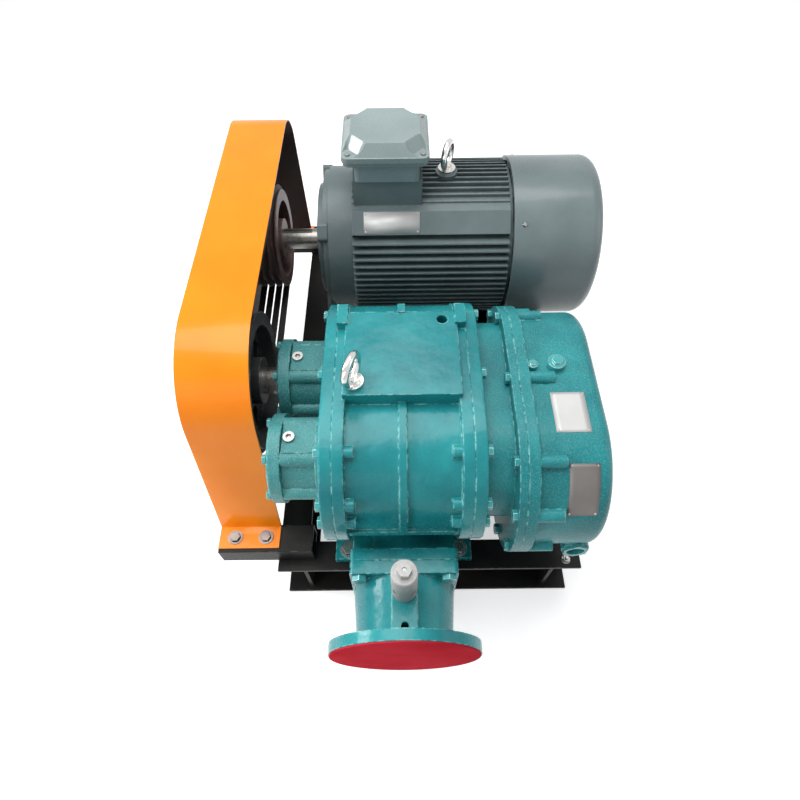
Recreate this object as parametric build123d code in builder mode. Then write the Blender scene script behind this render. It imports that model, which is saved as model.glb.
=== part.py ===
from build123d import *
import os
from math import acos, atan, cos, degrees, pi, radians, sin, sqrt, tan

# Belt-driven three-lobe roots vacuum pump on a channel base, with its motor
# behind it. Millimetres. +X runs along the shafts from the belt drive to the
# gear case, +Y from the suction flange to the motor, +Z up from the floor.
# The origin is the middle of the base's anchor holes, at floor level.

os.makedirs("parts", exist_ok=True)

# Base of rolled channel
base_length = 1060
base_width = 658
channel_height = 160
channel_flange = 65
channel_wall = 8
anchor_inset = 32
anchor_hole = 18
anchor_from_end = 90

# Pump: places and main sizes
axis_z = 440
rotor_spacing = 180
front_axis_y = -403
pump_x = -56
bore_length = 236
rotor_play = 0.45
bore_radius = 120.5
casing_wall = 15.5
plate_radius = 152
plate_thickness = 22
flange_thickness = 20
rib_width = 14
rib_height = 7
boss_length = 16
lug_top = 610

# Suction and discharge ports
port_z = 253
port_radius = 75
port_square = 201
port_bolt_spacing = 166
discharge_bolt_spacing = 150
port_flange_thickness = 22
port_bolt = 16
suction_flange_radius = 142.5
suction_flange_thickness = 20
suction_bolt_circle = 240
suction_bolt_hole = 22
suction_bolt_count = 8
neck_flange_thickness = 25
neck_length = 123
neck_radius = 90
cover_thickness = 3
cover_radius = 137

# Shafts, bearings and gears
shaft_radius = 27.5
bearing_outer = 60
bearing_width = 29
running_gap = 0.05
gear_module = 5
gear_teeth = 36
gear_width = 40
gear_thinning = 0.45

# Belt drive
pulley_x = -379
belt_count = 4
belt_pitch = 19
belt_top = 17
belt_depth = 13
belt_angle = 17
belt_gap = 0.3
pump_pulley_radius = 140
motor_pulley_radius = 115
pulley_edge = 12.5

# Motor
motor_axis_y = 207
motor_face_x = -250
motor_shaft_radius = 24
motor_height = 180
motor_frame_x0 = -215
motor_frame_x1 = 192
motor_barrel = 150
motor_bore = 138
motor_fin_radius = 180
fin_thickness = 4
fin_pitch = 15
cowl_radius = 185
cowl_end_x = 390
cowl_sheet = 2.5
foot_hole_length = 241
foot_hole_width = 279
foot_first_hole = 121

# Belt guard
guard_x0 = -449
guard_width = 129
guard_sheet = 3
guard_top_z = 642
guard_foot_z = 212
guard_foot_length = 47
guard_front_y = -451
guard_rear_y = 479
guard_slope = 0.212

rear_axis_y = front_axis_y + rotor_spacing
middle_y = front_axis_y + rotor_spacing / 2
bore_x0 = pump_x - bore_length / 2
bore_x1 = pump_x + bore_length / 2
plate_x0 = bore_x0 - plate_thickness
plate_x1 = bore_x1 + plate_thickness
body_radius = bore_radius + casing_wall
rotor_axes = {"driven": front_axis_y, "drive": rear_axis_y}


def across(x):
    """A sketch plane square to the shafts at x: its axes are Y and Z."""
    return Plane.YZ.offset(x)


def facing_front(y):
    """A sketch plane square to Y at y, extruding towards -Y: its axes are X and Z."""
    return Plane.XZ.offset(-y)


def save(piece, name):
    piece.part.label = name
    export_step(piece.part, f"parts/{name}.step")


def box_between(x, y, z, mode=Mode.ADD):
    """A box from three (low, high) pairs, in the open part builder."""
    with Locations(((x[0] + x[1]) / 2, (y[0] + y[1]) / 2, (z[0] + z[1]) / 2)):
        Box(x[1] - x[0], y[1] - y[0], z[1] - z[0], mode=mode)


def hex_bolts(name, places, size, shank):
    """Like hexagon bolts, kept as one piece: each place is a plane on the clamped face."""
    with BuildPart() as bolts:
        for place in places:
            with BuildSketch(place):
                RegularPolygon(size * 0.9, 6)
            extrude(amount=size * 0.64)
            with BuildSketch(place):
                Circle(size / 2)
            extrude(amount=-shank)
    save(bolts, name)


def tapped_holes(places, size, depth):
    """Holes for hex_bolts, cut in the open part builder with the bolt's own size."""
    with Locations(*places):
        Cylinder(size / 2, depth, align=(Align.CENTER, Align.CENTER, Align.MAX), mode=Mode.SUBTRACT)


# Base: two side rails, cross beams between them, all rolled channel
rail_x = base_width / 2
beam_half = base_width / 2 - channel_wall


def channel_profile(depth, height, wall):
    """A channel section that stands on the local X axis and opens towards +X."""
    with Locations((wall / 2, height / 2)):
        Rectangle(wall, height)
    with Locations((depth / 2, wall / 2), (depth / 2, height - wall / 2)):
        Rectangle(depth, wall)


rail_front = -base_length / 2 + channel_flange
for side, name in ((-1, "base_left_rail"), (1, "base_right_rail")):
    with BuildPart() as rail:
        start_y = rail_front if side > 0 else base_length / 2
        rail_plane = Plane(origin=(side * rail_x, start_y, 0), x_dir=(-side, 0, 0), z_dir=(0, side, 0))
        with BuildSketch(rail_plane):
            channel_profile(channel_flange, channel_height, channel_wall)
        extrude(amount=base_length / 2 - rail_front)
        anchor_x = side * (rail_x - anchor_inset)
        for y in (-1, 1):
            with Locations((anchor_x, y * (base_length / 2 - anchor_from_end), channel_wall / 2)):
                Cylinder(anchor_hole / 2, channel_wall * 2, mode=Mode.SUBTRACT)
    save(rail, name)

# Front beam: across the rails' ends, open to the front, with two stiffeners
stiffener_x = 275
with BuildPart() as front_beam:
    with BuildSketch(Plane(origin=(base_width / 2, rail_front, 0), x_dir=(0, -1, 0), z_dir=(-1, 0, 0))):
        channel_profile(channel_flange, channel_height, channel_wall)
    extrude(amount=base_width)
    for x in (-stiffener_x, stiffener_x):
        box_between((x - channel_wall / 2, x + channel_wall / 2), (-base_length / 2 + 10, rail_front),
                    (0, channel_height))
save(front_beam, "base_front_beam")

# Cross beams: their webs face the named way, and they fit inside the rails
pump_beam_rear = -150
motor_beam_front = 65
motor_beam_rear = 349
beams = {
    "base_pump_beam": (pump_beam_rear, 1),
    "base_motor_front_beam": (motor_beam_front, 1),
    "base_motor_rear_beam": (motor_beam_rear, -1),
    "base_rear_beam": (base_length / 2, -1),
}
beam_top = channel_height - channel_wall
for name, (web_y, opens) in beams.items():
    with BuildPart() as beam:
        beam_plane = Plane(origin=(-opens * beam_half, web_y, 0), x_dir=(0, opens, 0),
                           z_dir=(opens, 0, 0))
        with BuildSketch(beam_plane):
            channel_profile(channel_flange, channel_height, channel_wall)
        extrude(amount=2 * beam_half)
        for side in (-1, 1):
            low, high = sorted((side * beam_half, side * (beam_half - channel_flange)))
            inner = (min(web_y, web_y + opens * channel_flange) - 1,
                     max(web_y, web_y + opens * channel_flange) + 1)
            box_between((low - 1, high + 1), inner, (-1, channel_wall), Mode.SUBTRACT)
            box_between((low - 1, high + 1), inner, (beam_top, channel_height + 1), Mode.SUBTRACT)
    save(beam, name)

# Pump casing: one casting with two bores, a suction duct below, a discharge
# duct over the rear bore and down the back, feet, and a flange at each end
pad_reach = 4
pad_y = (-374, -188)
pad_top = axis_z + 165
pad_lip = 6
duct_wall = 16
duct_half = port_square / 2 - 3
suction_duct_top = axis_z - bore_radius - 14
suction_face_y = -572
upper_duct_half = 56
duct_floor = 168
duct_rear_y = middle_y + 60
discharge_face_y = -14
discharge_duct_y = (rear_axis_y + bore_radius + 10, -36)
discharge_shoulder_z = 430
roof_wall = 12
jacket_radius = 148.5
jacket_wall = 8
foot_thickness = 18
foot_x = 118
foot_width = 58
foot_y = (-512, -96)
leg_y = (-462, -165)
plate_bolt = 12
plate_bolt_radius = plate_radius - 12
lift_bolt = 20
lift_places = ((pump_x - 84, -349), (pump_x + 75, -208))


def figure_eight(radius):
    """The rounded outline round both bores, in an open sketch across the shafts."""
    with Locations((middle_y, axis_z)):
        SlotCenterToCenter(rotor_spacing, 2 * radius)


def rim_points(radius, turns):
    """Points on the outline: its two middles, and each turn from upright at both ends."""
    for side in (-1, 1):
        yield middle_y, axis_z + side * radius
    for axis_y, side in ((front_axis_y, -1), (rear_axis_y, 1)):
        for turn in turns:
            yield axis_y + side * radius * sin(radians(turn)), axis_z + radius * cos(radians(turn))


plate_turns = (25, 63, 81, 119, 157)
left_rim = [Plane(origin=(plate_x0, y, z), z_dir=(-1, 0, 0)) for y, z in rim_points(plate_bolt_radius, plate_turns)]
right_rim = [Plane(origin=(plate_x1, y, z), z_dir=(1, 0, 0)) for y, z in rim_points(plate_bolt_radius, plate_turns)]
rim_depth = plate_thickness + flange_thickness - 2
foot_bolt_places = [Plane(origin=(pump_x + side * foot_x, y, channel_height + foot_thickness), z_dir=(0, 0, 1))
                    for side in (-1, 1) for y in (foot_y[0] + 22, foot_y[1] - 22)]


def square_corners(spacing):
    """The four corners of a port's bolt square, as (x, z)."""
    return [(pump_x + i * spacing / 2, port_z + j * spacing / 2) for i in (-1, 1) for j in (-1, 1)]


port_corners = square_corners(port_bolt_spacing)
discharge_corners = square_corners(discharge_bolt_spacing)

with BuildPart() as casing:
    with BuildSketch(across(bore_x0)):
        figure_eight(body_radius)
    extrude(amount=bore_length)
    for x in (bore_x0, bore_x1 - flange_thickness):
        with BuildSketch(across(x)):
            figure_eight(plate_radius)
        extrude(amount=flange_thickness)
        box_between((x, x + flange_thickness), leg_y, (channel_height + foot_thickness / 2, axis_z))
        # Bosses behind the flange for the plate bolts of the front
        inward = 1 if x < pump_x else -1
        boss_start = x + flange_thickness if inward > 0 else x - boss_length
        for place in left_rim:
            if place.origin.Y < front_axis_y and place.origin.Z > axis_z - 60:
                with BuildSketch(across(boss_start)):
                    with Locations((place.origin.Y, place.origin.Z)):
                        Circle(plate_bolt - 1)
                extrude(amount=boss_length)
        # Lug on the top rear shoulder of the flange
        box_between((x, x + flange_thickness), (rear_axis_y + 4, rear_axis_y + 50), (axis_z + 120, lug_top))
    with BuildSketch(across(pump_x - rib_width / 2)):
        figure_eight(body_radius + rib_height)
    extrude(amount=rib_width)
    box_between((pump_x - rib_width / 2, pump_x + rib_width / 2), (rear_axis_y + 30, rear_axis_y + 50),
                (axis_z + 120, lug_top))
    # Rib along the foot of the barrel, over the suction duct
    box_between((bore_x0 + 2, bore_x1 - 2), (front_axis_y - body_radius - 5, front_axis_y),
                (axis_z - 35, axis_z - 35 + rib_width))
    box_between((bore_x0 + flange_thickness - pad_reach, bore_x1 - flange_thickness + pad_reach), pad_y,
                (axis_z, pad_top))
    # Discharge duct: a jacket over the rear bore, then down the back to the port
    duct_back = discharge_duct_y[1]
    shoulder = (rear_axis_y + jacket_radius * 0.7, axis_z + jacket_radius * 0.7)
    with BuildSketch(across(pump_x - duct_half)):
        with Locations((rear_axis_y, axis_z)):
            Circle(jacket_radius)
        Polygon(shoulder, (duct_back, discharge_shoulder_z), (duct_back, duct_floor),
                (discharge_duct_y[0] - 10, duct_floor), (discharge_duct_y[0] - 10, axis_z), align=None)
    extrude(amount=2 * duct_half)
    box_between((pump_x - duct_half, pump_x + duct_half), (suction_face_y + 2, duct_rear_y),
                (duct_floor, suction_duct_top + duct_wall))
    with Locations((pump_x, (suction_face_y + front_axis_y) / 2, port_z)):
        Cylinder(port_radius + duct_wall, front_axis_y - suction_face_y - 4, rotation=(90, 0, 0))
    for face_y in (suction_face_y, discharge_face_y - port_flange_thickness):
        with BuildSketch(facing_front(face_y + port_flange_thickness)):
            with Locations((pump_x, port_z)):
                RectangleRounded(port_square, port_square, 8)
        extrude(amount=port_flange_thickness)
    for side in (-1, 1):
        x = pump_x + side * foot_x
        box_between((x - foot_width / 2, x + foot_width / 2), foot_y,
                    (channel_height, channel_height + foot_thickness))
    # Bores, ducts and ports
    with BuildSketch(across(bore_x0)):
        for axis_y in rotor_axes.values():
            with Locations((axis_y, axis_z)):
                Circle(bore_radius)
    extrude(amount=bore_length, mode=Mode.SUBTRACT)
    inner_half = duct_half - duct_wall
    duct_x = (pump_x - inner_half, pump_x + inner_half)
    suction_duct_floor = port_z - port_radius
    throat = (middle_y - 45, middle_y + 45)
    box_between(duct_x, (front_axis_y - 70, duct_rear_y - duct_wall),
                (suction_duct_floor, suction_duct_top), Mode.SUBTRACT)
    box_between(duct_x, throat, (suction_duct_top - 1, axis_z - 70), Mode.SUBTRACT)
    upper_duct_x = (pump_x - upper_duct_half, pump_x + upper_duct_half)
    upper_duct_top = pad_top - roof_wall
    duct_inner_back = duct_back - duct_wall
    box_between(upper_duct_x, throat, (axis_z + 70, upper_duct_top), Mode.SUBTRACT)
    box_between(upper_duct_x, (throat[0], rear_axis_y + 1), (axis_z + bore_radius + jacket_wall, upper_duct_top),
                Mode.SUBTRACT)
    with BuildSketch(across(upper_duct_x[0])):
        with Locations((rear_axis_y, axis_z)):
            Circle(jacket_radius - jacket_wall)
        Polygon((shoulder[0] - jacket_wall, shoulder[1] - jacket_wall),
                (duct_inner_back, discharge_shoulder_z - jacket_wall), (duct_inner_back, suction_duct_floor),
                (discharge_duct_y[0], suction_duct_floor), (discharge_duct_y[0], axis_z), align=None)
        with Locations((rear_axis_y, axis_z)):
            Circle(bore_radius + jacket_wall, mode=Mode.SUBTRACT)
        with Locations((rear_axis_y - jacket_radius, axis_z)):
            Rectangle(2 * jacket_radius, 4 * jacket_radius, mode=Mode.SUBTRACT)
        with Locations((discharge_duct_y[0] - jacket_radius, axis_z - jacket_radius)):
            Rectangle(2 * jacket_radius, 2 * jacket_radius, mode=Mode.SUBTRACT)
    extrude(amount=2 * upper_duct_half, mode=Mode.SUBTRACT)
    box_between(duct_x, (discharge_duct_y[0], duct_inner_back), (suction_duct_floor, port_z + port_square / 2),
                Mode.SUBTRACT)
    for start_y, length in ((front_axis_y - 62, front_axis_y - 62 - suction_face_y),
                            (discharge_face_y, duct_wall + port_flange_thickness + 4)):
        with BuildSketch(facing_front(start_y)):
            with Locations((pump_x, port_z)):
                Circle(port_radius)
        extrude(amount=length, mode=Mode.SUBTRACT)
    # Tapped and clearance holes
    tapped_holes(left_rim, plate_bolt, rim_depth)
    tapped_holes(right_rim, plate_bolt, rim_depth)
    tapped_holes([Plane(origin=(x, suction_face_y, z), z_dir=(0, -1, 0)) for x, z in port_corners],
                 port_bolt, port_flange_thickness)
    tapped_holes([Plane(origin=(x, discharge_face_y, z), z_dir=(0, 1, 0)) for x, z in discharge_corners],
                 port_bolt, port_flange_thickness)
    tapped_holes([Plane(origin=(x, y, pad_top), z_dir=(0, 0, 1)) for x, y in lift_places], lift_bolt, 30)
    tapped_holes(foot_bolt_places, port_bolt, foot_thickness)
save(casing, "pump_casing")

# End plates: flat castings that close the bores and carry the bearing housings
bearing_reach = 100
carrier_radius = 112
case_x0 = 136
case_plate = 15
case_x1 = case_x0 + case_plate
cover_end_x = 299
housing_radius = 72
housing_rim = 84
housing_cap = 24
housing_rim_thickness = 14
shaft_hole = shaft_radius + 3


def end_plate(name, x, rim):
    with BuildPart() as plate:
        with BuildSketch(across(x)):
            figure_eight(plate_radius)
            for axis_y in rotor_axes.values():
                with Locations((axis_y, axis_z)):
                    Circle(shaft_hole, mode=Mode.SUBTRACT)
        extrude(amount=plate_thickness)
        fillet(plate.faces().sort_by(Axis.X)[-1 if x > pump_x else 0].outer_wire().edges(), 3)
        tapped_holes(rim, plate_bolt, plate_thickness)
    save(plate, name)


end_plate("drive_end_plate", plate_x0, left_rim)
end_plate("gear_end_plate", bore_x1, right_rim)
hex_bolts("end_plate_bolts", left_rim + right_rim, plate_bolt, rim_depth)
hex_bolts("pump_foot_bolts", foot_bolt_places, port_bolt, foot_thickness)

# Bearing housings on the drive side: a rimmed drum each, with a bearing seat
# at its outer end, and a bolted cap
housing_x0 = plate_x0 - bearing_reach + housing_cap
cap_x0 = housing_x0 - housing_cap
cap_bolt = 10
cap_bolt_circle = housing_rim - 9
seal_radius = shaft_radius + 10
plug_size = 14


def ring_places(x, axis_y, radius, count, facing, phase=0):
    """Planes on a bolt circle round a shaft, at x, facing along it."""
    return [Plane(origin=(x, axis_y + radius * cos(phase + 2 * pi * i / count),
                          axis_z + radius * sin(phase + 2 * pi * i / count)), z_dir=(facing, 0, 0))
            for i in range(count)]


cap_bolts = []
housing_plugs = []
for name, axis_y in rotor_axes.items():
    places = ring_places(cap_x0, axis_y, cap_bolt_circle, 6, -1)
    cap_bolts += places
    plug_place = Plane(origin=(housing_x0 + plug_size, axis_y, axis_z + housing_radius + 4), z_dir=(0, 0, 1))
    housing_plugs.append(plug_place)
    with BuildPart() as housing:
        with BuildSketch(across(plate_x0 - housing_rim_thickness)):
            with Locations((axis_y, axis_z)):
                Circle(housing_rim)
        extrude(amount=housing_rim_thickness)
        with BuildSketch(across(housing_x0)):
            with Locations((axis_y, axis_z)):
                Circle(housing_radius)
                with PolarLocations(cap_bolt_circle - 6, 6):
                    Circle(15)
        extrude(amount=plate_x0 - housing_x0)
        with BuildSketch(Plane.XY.offset(axis_z)):
            with Locations(((housing_x0 + plate_x0) / 2, axis_y)):
                Rectangle(plate_x0 - housing_x0 - 4, 62)
        extrude(amount=housing_radius + 4)
        with BuildSketch(across(housing_x0)):
            with Locations((axis_y, axis_z)):
                Circle(bearing_outer)
        extrude(amount=bearing_width + 4, mode=Mode.SUBTRACT)
        with BuildSketch(across(housing_x0)):
            with Locations((axis_y, axis_z)):
                Circle(seal_radius + 8)
        extrude(amount=plate_x0 - housing_x0, mode=Mode.SUBTRACT)
        tapped_holes(places, cap_bolt, housing_cap + 16)
        tapped_holes([plug_place], plug_size, 20)
    save(housing, f"{name}_bearing_housing")
    with BuildPart() as cap:
        with BuildSketch(across(cap_x0)):
            with Locations((axis_y, axis_z)):
                Circle(housing_rim)
        extrude(amount=housing_cap)
        chamfer(cap.faces().sort_by(Axis.X)[0].outer_wire().edges(), 3)
        with BuildSketch(across(cap_x0 + 12)):
            with Locations((axis_y, axis_z)):
                Circle(bearing_outer - 12)
        extrude(amount=housing_cap, mode=Mode.SUBTRACT)
        if name == "drive":
            with BuildSketch(across(cap_x0)):
                with Locations((axis_y, axis_z)):
                    Circle(shaft_hole)
            extrude(amount=housing_cap, mode=Mode.SUBTRACT)
        tapped_holes(places, cap_bolt, housing_cap)
    save(cap, f"{name}_bearing_cap")
hex_bolts("bearing_cap_bolts", cap_bolts, cap_bolt, housing_cap + 15)

with BuildPart() as plugs:
    for place in housing_plugs:
        with BuildSketch(place):
            Circle(plug_size * 0.75)
            RegularPolygon(plug_size * 0.4, 6, mode=Mode.SUBTRACT)
        extrude(amount=5)
        with BuildSketch(place):
            Circle(plug_size / 2)
        extrude(amount=-10)
save(plugs, "housing_plugs")

# Bearing carrier: one casting of the drum on the gear-side plate and the back
# of the gear case, whose oil sump hangs lower than the shafts
case_z = axis_z - 30
case_radius = 152
cover_wall = 9
cover_flange = 20
cover_edge = 20
case_bolt = 12
case_boss = 45
case_bolt_radius = case_radius + 2
flange_radius = case_radius + 14


def case_outline(radius):
    """The gear case's outline, in an open sketch across the shafts."""
    with Locations((middle_y, case_z)):
        SlotCenterToCenter(rotor_spacing, 2 * radius)


case_turns = (27, 63, 105, 147)
case_places = [Plane(origin=(case_x0, y, z + case_z - axis_z), z_dir=(-1, 0, 0))
               for y, z in rim_points(case_bolt_radius, case_turns)]
with BuildPart() as carrier:
    with BuildSketch(across(plate_x1)):
        figure_eight(carrier_radius)
    extrude(amount=case_x0 - plate_x1)
    for axis_y in rotor_axes.values():
        with BuildSketch(across(plate_x1)):
            with Locations((axis_y, axis_z)):
                Circle(shaft_hole)
        extrude(amount=case_x0 - plate_x1, mode=Mode.SUBTRACT)
        with BuildSketch(across(case_x0 - bearing_width - 4)):
            with Locations((axis_y, axis_z)):
                Circle(bearing_outer)
        extrude(amount=bearing_width + 4, mode=Mode.SUBTRACT)
    fillet(carrier.faces().sort_by(Axis.X)[0].outer_wire().edges(), 4)
    with BuildSketch(across(case_x0)):
        case_outline(flange_radius)
        for axis_y in rotor_axes.values():
            with Locations((axis_y, axis_z)):
                Circle(bearing_outer - 8, mode=Mode.SUBTRACT)
    extrude(amount=case_plate)
    tapped_holes(case_places, case_bolt, case_plate)
save(carrier, "bearing_carrier")

# Bearings: both races and what rolls between them, one to each seat
bearing_seats = [(x, axis_y) for x in (housing_x0 + 2, case_x0 - bearing_width - 2)
                 for axis_y in rotor_axes.values()]


def bearings(name, seats, bore, outer, width):
    """Like bearings kept as one piece, each on its seat's x and axis y."""
    race = (outer - bore) * 0.3
    middle = (outer + bore) / 2
    with BuildPart() as rings:
        for x, axis_y in seats:
            for radii in ((bore, bore + race), (outer - race, outer)):
                with BuildSketch(across(x)):
                    with Locations((axis_y, axis_z)):
                        Circle(radii[1])
                        Circle(radii[0], mode=Mode.SUBTRACT)
                extrude(amount=width)
            with BuildSketch(across(x + width * 0.35)):
                with Locations((axis_y, axis_z)):
                    Circle(middle + race)
                    Circle(middle - race, mode=Mode.SUBTRACT)
            extrude(amount=width * 0.3)
    save(rings, name)


bearings("pump_bearings", bearing_seats, shaft_radius + running_gap, bearing_outer - 0.02, bearing_width)

# Rotors: three lobes of epicycloid tips and hypocycloid roots on a pitch
# circle of half the shaft spacing, drawn in by the clearance between them
lobe_count = 3
lobe_gap = 0.4
lobe_points = 8
rotor_turn = 150


def rotor_outline():
    pitch = rotor_spacing / 2
    roll = pitch / (2 * lobe_count)
    share = 180 / lobe_count
    for arch in range(2 * lobe_count):
        side = 1 if arch % 2 == 0 else -1
        for i in range(lobe_points):
            angle = radians(arch * share + share * (i + 0.5) / lobe_points)
            inner = radians(share * (i + 0.5) / lobe_points)
            start = radians(arch * share)
            reach = pitch + side * roll
            ratio = reach / roll
            x = reach * cos(inner) - side * roll * cos(ratio * inner)
            y = reach * sin(inner) - roll * sin(ratio * inner)
            touch = Vector(pitch * cos(inner), pitch * sin(inner))
            point = Vector(x, y)
            point = point - (point - touch).normalized() * (side * lobe_gap)
            yield point.rotate(Axis.Z, degrees(start))


with BuildSketch() as rotor_section:
    with BuildLine():
        Spline(*rotor_outline(), periodic=True)
    make_face()
    Circle(shaft_radius, mode=Mode.SUBTRACT)
    with PolarLocations(rotor_spacing / 2 - 14, lobe_count, start_angle=180 / lobe_count / 2):
        Circle(19, mode=Mode.SUBTRACT)

for name, axis_y in rotor_axes.items():
    with BuildPart() as rotor:
        with BuildSketch(across(bore_x0 + rotor_play)):
            with Locations(Location((axis_y, axis_z, 0), (0, 0, rotor_turn))):
                add(rotor_section.sketch)
        extrude(amount=bore_length - 2 * rotor_play)
    save(rotor, f"{name}_rotor")

# Shafts: the drive shaft reaches out to its pulley, the driven one ends
# under its cap, and both carry a gear and its nut in the gear case
gear_x0 = case_x1 + 12
gear_seat = 25
nut_width = 14
pulley_width = (belt_count - 1) * belt_pitch + 2 * pulley_edge
pulley_x0 = pulley_x - pulley_width / 2
shaft_starts = {"driven": housing_x0 - 4, "drive": pulley_x0 - 3}
for name, axis_y in rotor_axes.items():
    with BuildPart() as shaft:
        with BuildSketch(across(shaft_starts[name])):
            with Locations((axis_y, axis_z)):
                Circle(shaft_radius)
        extrude(amount=gear_x0 - shaft_starts[name])
        with BuildSketch(across(gear_x0)):
            with Locations((axis_y, axis_z)):
                Circle(gear_seat)
        extrude(amount=gear_width + nut_width + 3)
        with BuildSketch(across(gear_x0 + gear_width)):
            with Locations((axis_y, axis_z)):
                Circle(38)
                with PolarLocations(38, 4):
                    Rectangle(8, 8, mode=Mode.SUBTRACT)
        extrude(amount=nut_width)
        chamfer(shaft.edges().filter_by(GeomType.CIRCLE).group_by(Axis.X)[0], 2)
        if name == "drive":
            box_between((shaft_starts[name] + 2, pulley_x0 + pulley_width), (axis_y - 8, axis_y + 8),
                        (axis_z + shaft_radius - 6, axis_z + shaft_radius + 1), Mode.SUBTRACT)
    save(shaft, f"{name}_shaft")

# Timing gears: they keep the lobes apart, a tooth of one in a space of the other
gear_pitch_radius = gear_module * gear_teeth / 2
gear_root = gear_pitch_radius - 1.25 * gear_module
tooth_angle = 20


def half_tooth(height):
    """Half the width of a tooth at a height above the pitch circle."""
    return pi * gear_module / 4 - gear_thinning - height * tan(radians(tooth_angle))


for name, axis_y in rotor_axes.items():
    phase = 0 if name == "drive" else 180 / gear_teeth
    with BuildPart() as gear:
        with BuildSketch(across(gear_x0)):
            with Locations((axis_y, axis_z)):
                Circle(gear_root)
                with PolarLocations(gear_pitch_radius, gear_teeth, start_angle=phase):
                    root_half = half_tooth(-1.25 * gear_module)
                    tip_half = half_tooth(gear_module)
                    Polygon((-1.25 * gear_module - 1, -root_half), (gear_module, -tip_half),
                            (gear_module, tip_half), (-1.25 * gear_module - 1, root_half), align=None)
                Circle(gear_seat, mode=Mode.SUBTRACT)
                with PolarLocations(56, 6):
                    Circle(13, mode=Mode.SUBTRACT)
        extrude(amount=gear_width)
        for x in (gear_x0, gear_x0 + gear_width - 8):
            with BuildSketch(across(x)):
                with Locations((axis_y, axis_z)):
                    Circle(gear_root - 10)
                    Circle(40, mode=Mode.SUBTRACT)
            extrude(amount=8, mode=Mode.SUBTRACT)
    save(gear, f"{name}_timing_gear")

# Gear cover: deep and rounded, over the timing gears
sight_y = -500
sight_z = 330
sight_radius = 22
with BuildPart() as cover:
    with BuildSketch(across(case_x1)):
        case_outline(case_radius)
    extrude(amount=cover_end_x - case_x1)
    fillet(cover.faces().sort_by(Axis.X)[-1].outer_wire().edges(), cover_edge)
    with BuildSketch(across(case_x1)):
        case_outline(flange_radius)
    extrude(amount=cover_flange)
    for place in case_places:
        with BuildSketch(across(case_x1)):
            with Locations((place.origin.Y, place.origin.Z)):
                Circle(case_bolt)
        extrude(amount=cover_flange + case_boss)
    with BuildSketch(across(case_x1)):
        case_outline(case_radius - cover_wall)
    extrude(amount=cover_end_x - case_x1 - cover_wall, mode=Mode.SUBTRACT)
    tapped_holes(case_places, case_bolt, case_plate + cover_flange)
hex_bolts("gear_cover_bolts", case_places, case_bolt, case_plate + cover_flange)

# Gear case fittings: filler plug and vent on top, a sight glass and a drain
# plug low on the front
filler_places = [Plane(origin=(x, y, case_z + case_radius), z_dir=(0, 0, 1)) for x, y in ((224, -284), (180, -289))]
filler_radii = (16, 9)
with BuildPart() as fillers:
    for place, radius in zip(filler_places, filler_radii):
        with BuildSketch(place):
            Circle(radius)
        extrude(amount=12)
        with BuildSketch(place.offset(12)):
            RegularPolygon(radius * 0.6, 6)
        extrude(amount=radius * 0.3)
        with BuildSketch(place):
            Circle(radius * 0.6)
        extrude(amount=-cover_wall)
save(fillers, "oil_filler_plugs")

sight_drop = case_z - sight_z
sight_face_y = front_axis_y - sqrt(case_radius ** 2 - sight_drop ** 2)
sight_x = 270
sight_boss = 15
sight_plane = Plane(origin=(sight_x, sight_face_y - sight_boss, sight_z), z_dir=(0, -1, 0))
with cover:
    for place, radius in zip(filler_places, filler_radii):
        tapped_holes([place], radius * 1.2, cover_wall + 2)
    with Locations(sight_plane):
        Cylinder(sight_radius + 4, sight_boss + 20, align=(Align.CENTER, Align.CENTER, Align.MAX))
        Cylinder(sight_radius - 6, sight_boss + 30, align=(Align.CENTER, Align.CENTER, Align.MAX), mode=Mode.SUBTRACT)
        Cylinder(sight_radius, 10, align=(Align.CENTER, Align.CENTER, Align.MAX), mode=Mode.SUBTRACT)
save(cover, "gear_cover")

with BuildPart() as sight_ring:
    with BuildSketch(sight_plane):
        RegularPolygon(sight_radius + 3, 6)
        Circle(sight_radius - 5, mode=Mode.SUBTRACT)
    extrude(amount=6)
    with BuildSketch(sight_plane):
        Circle(sight_radius)
        Circle(sight_radius - 5, mode=Mode.SUBTRACT)
    extrude(amount=-6)
save(sight_ring, "sight_glass_ring")
with BuildPart() as sight_lens:
    with BuildSketch(sight_plane.offset(-10)):
        Circle(sight_radius)
    extrude(amount=4)
save(sight_lens, "sight_glass_lens")

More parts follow.
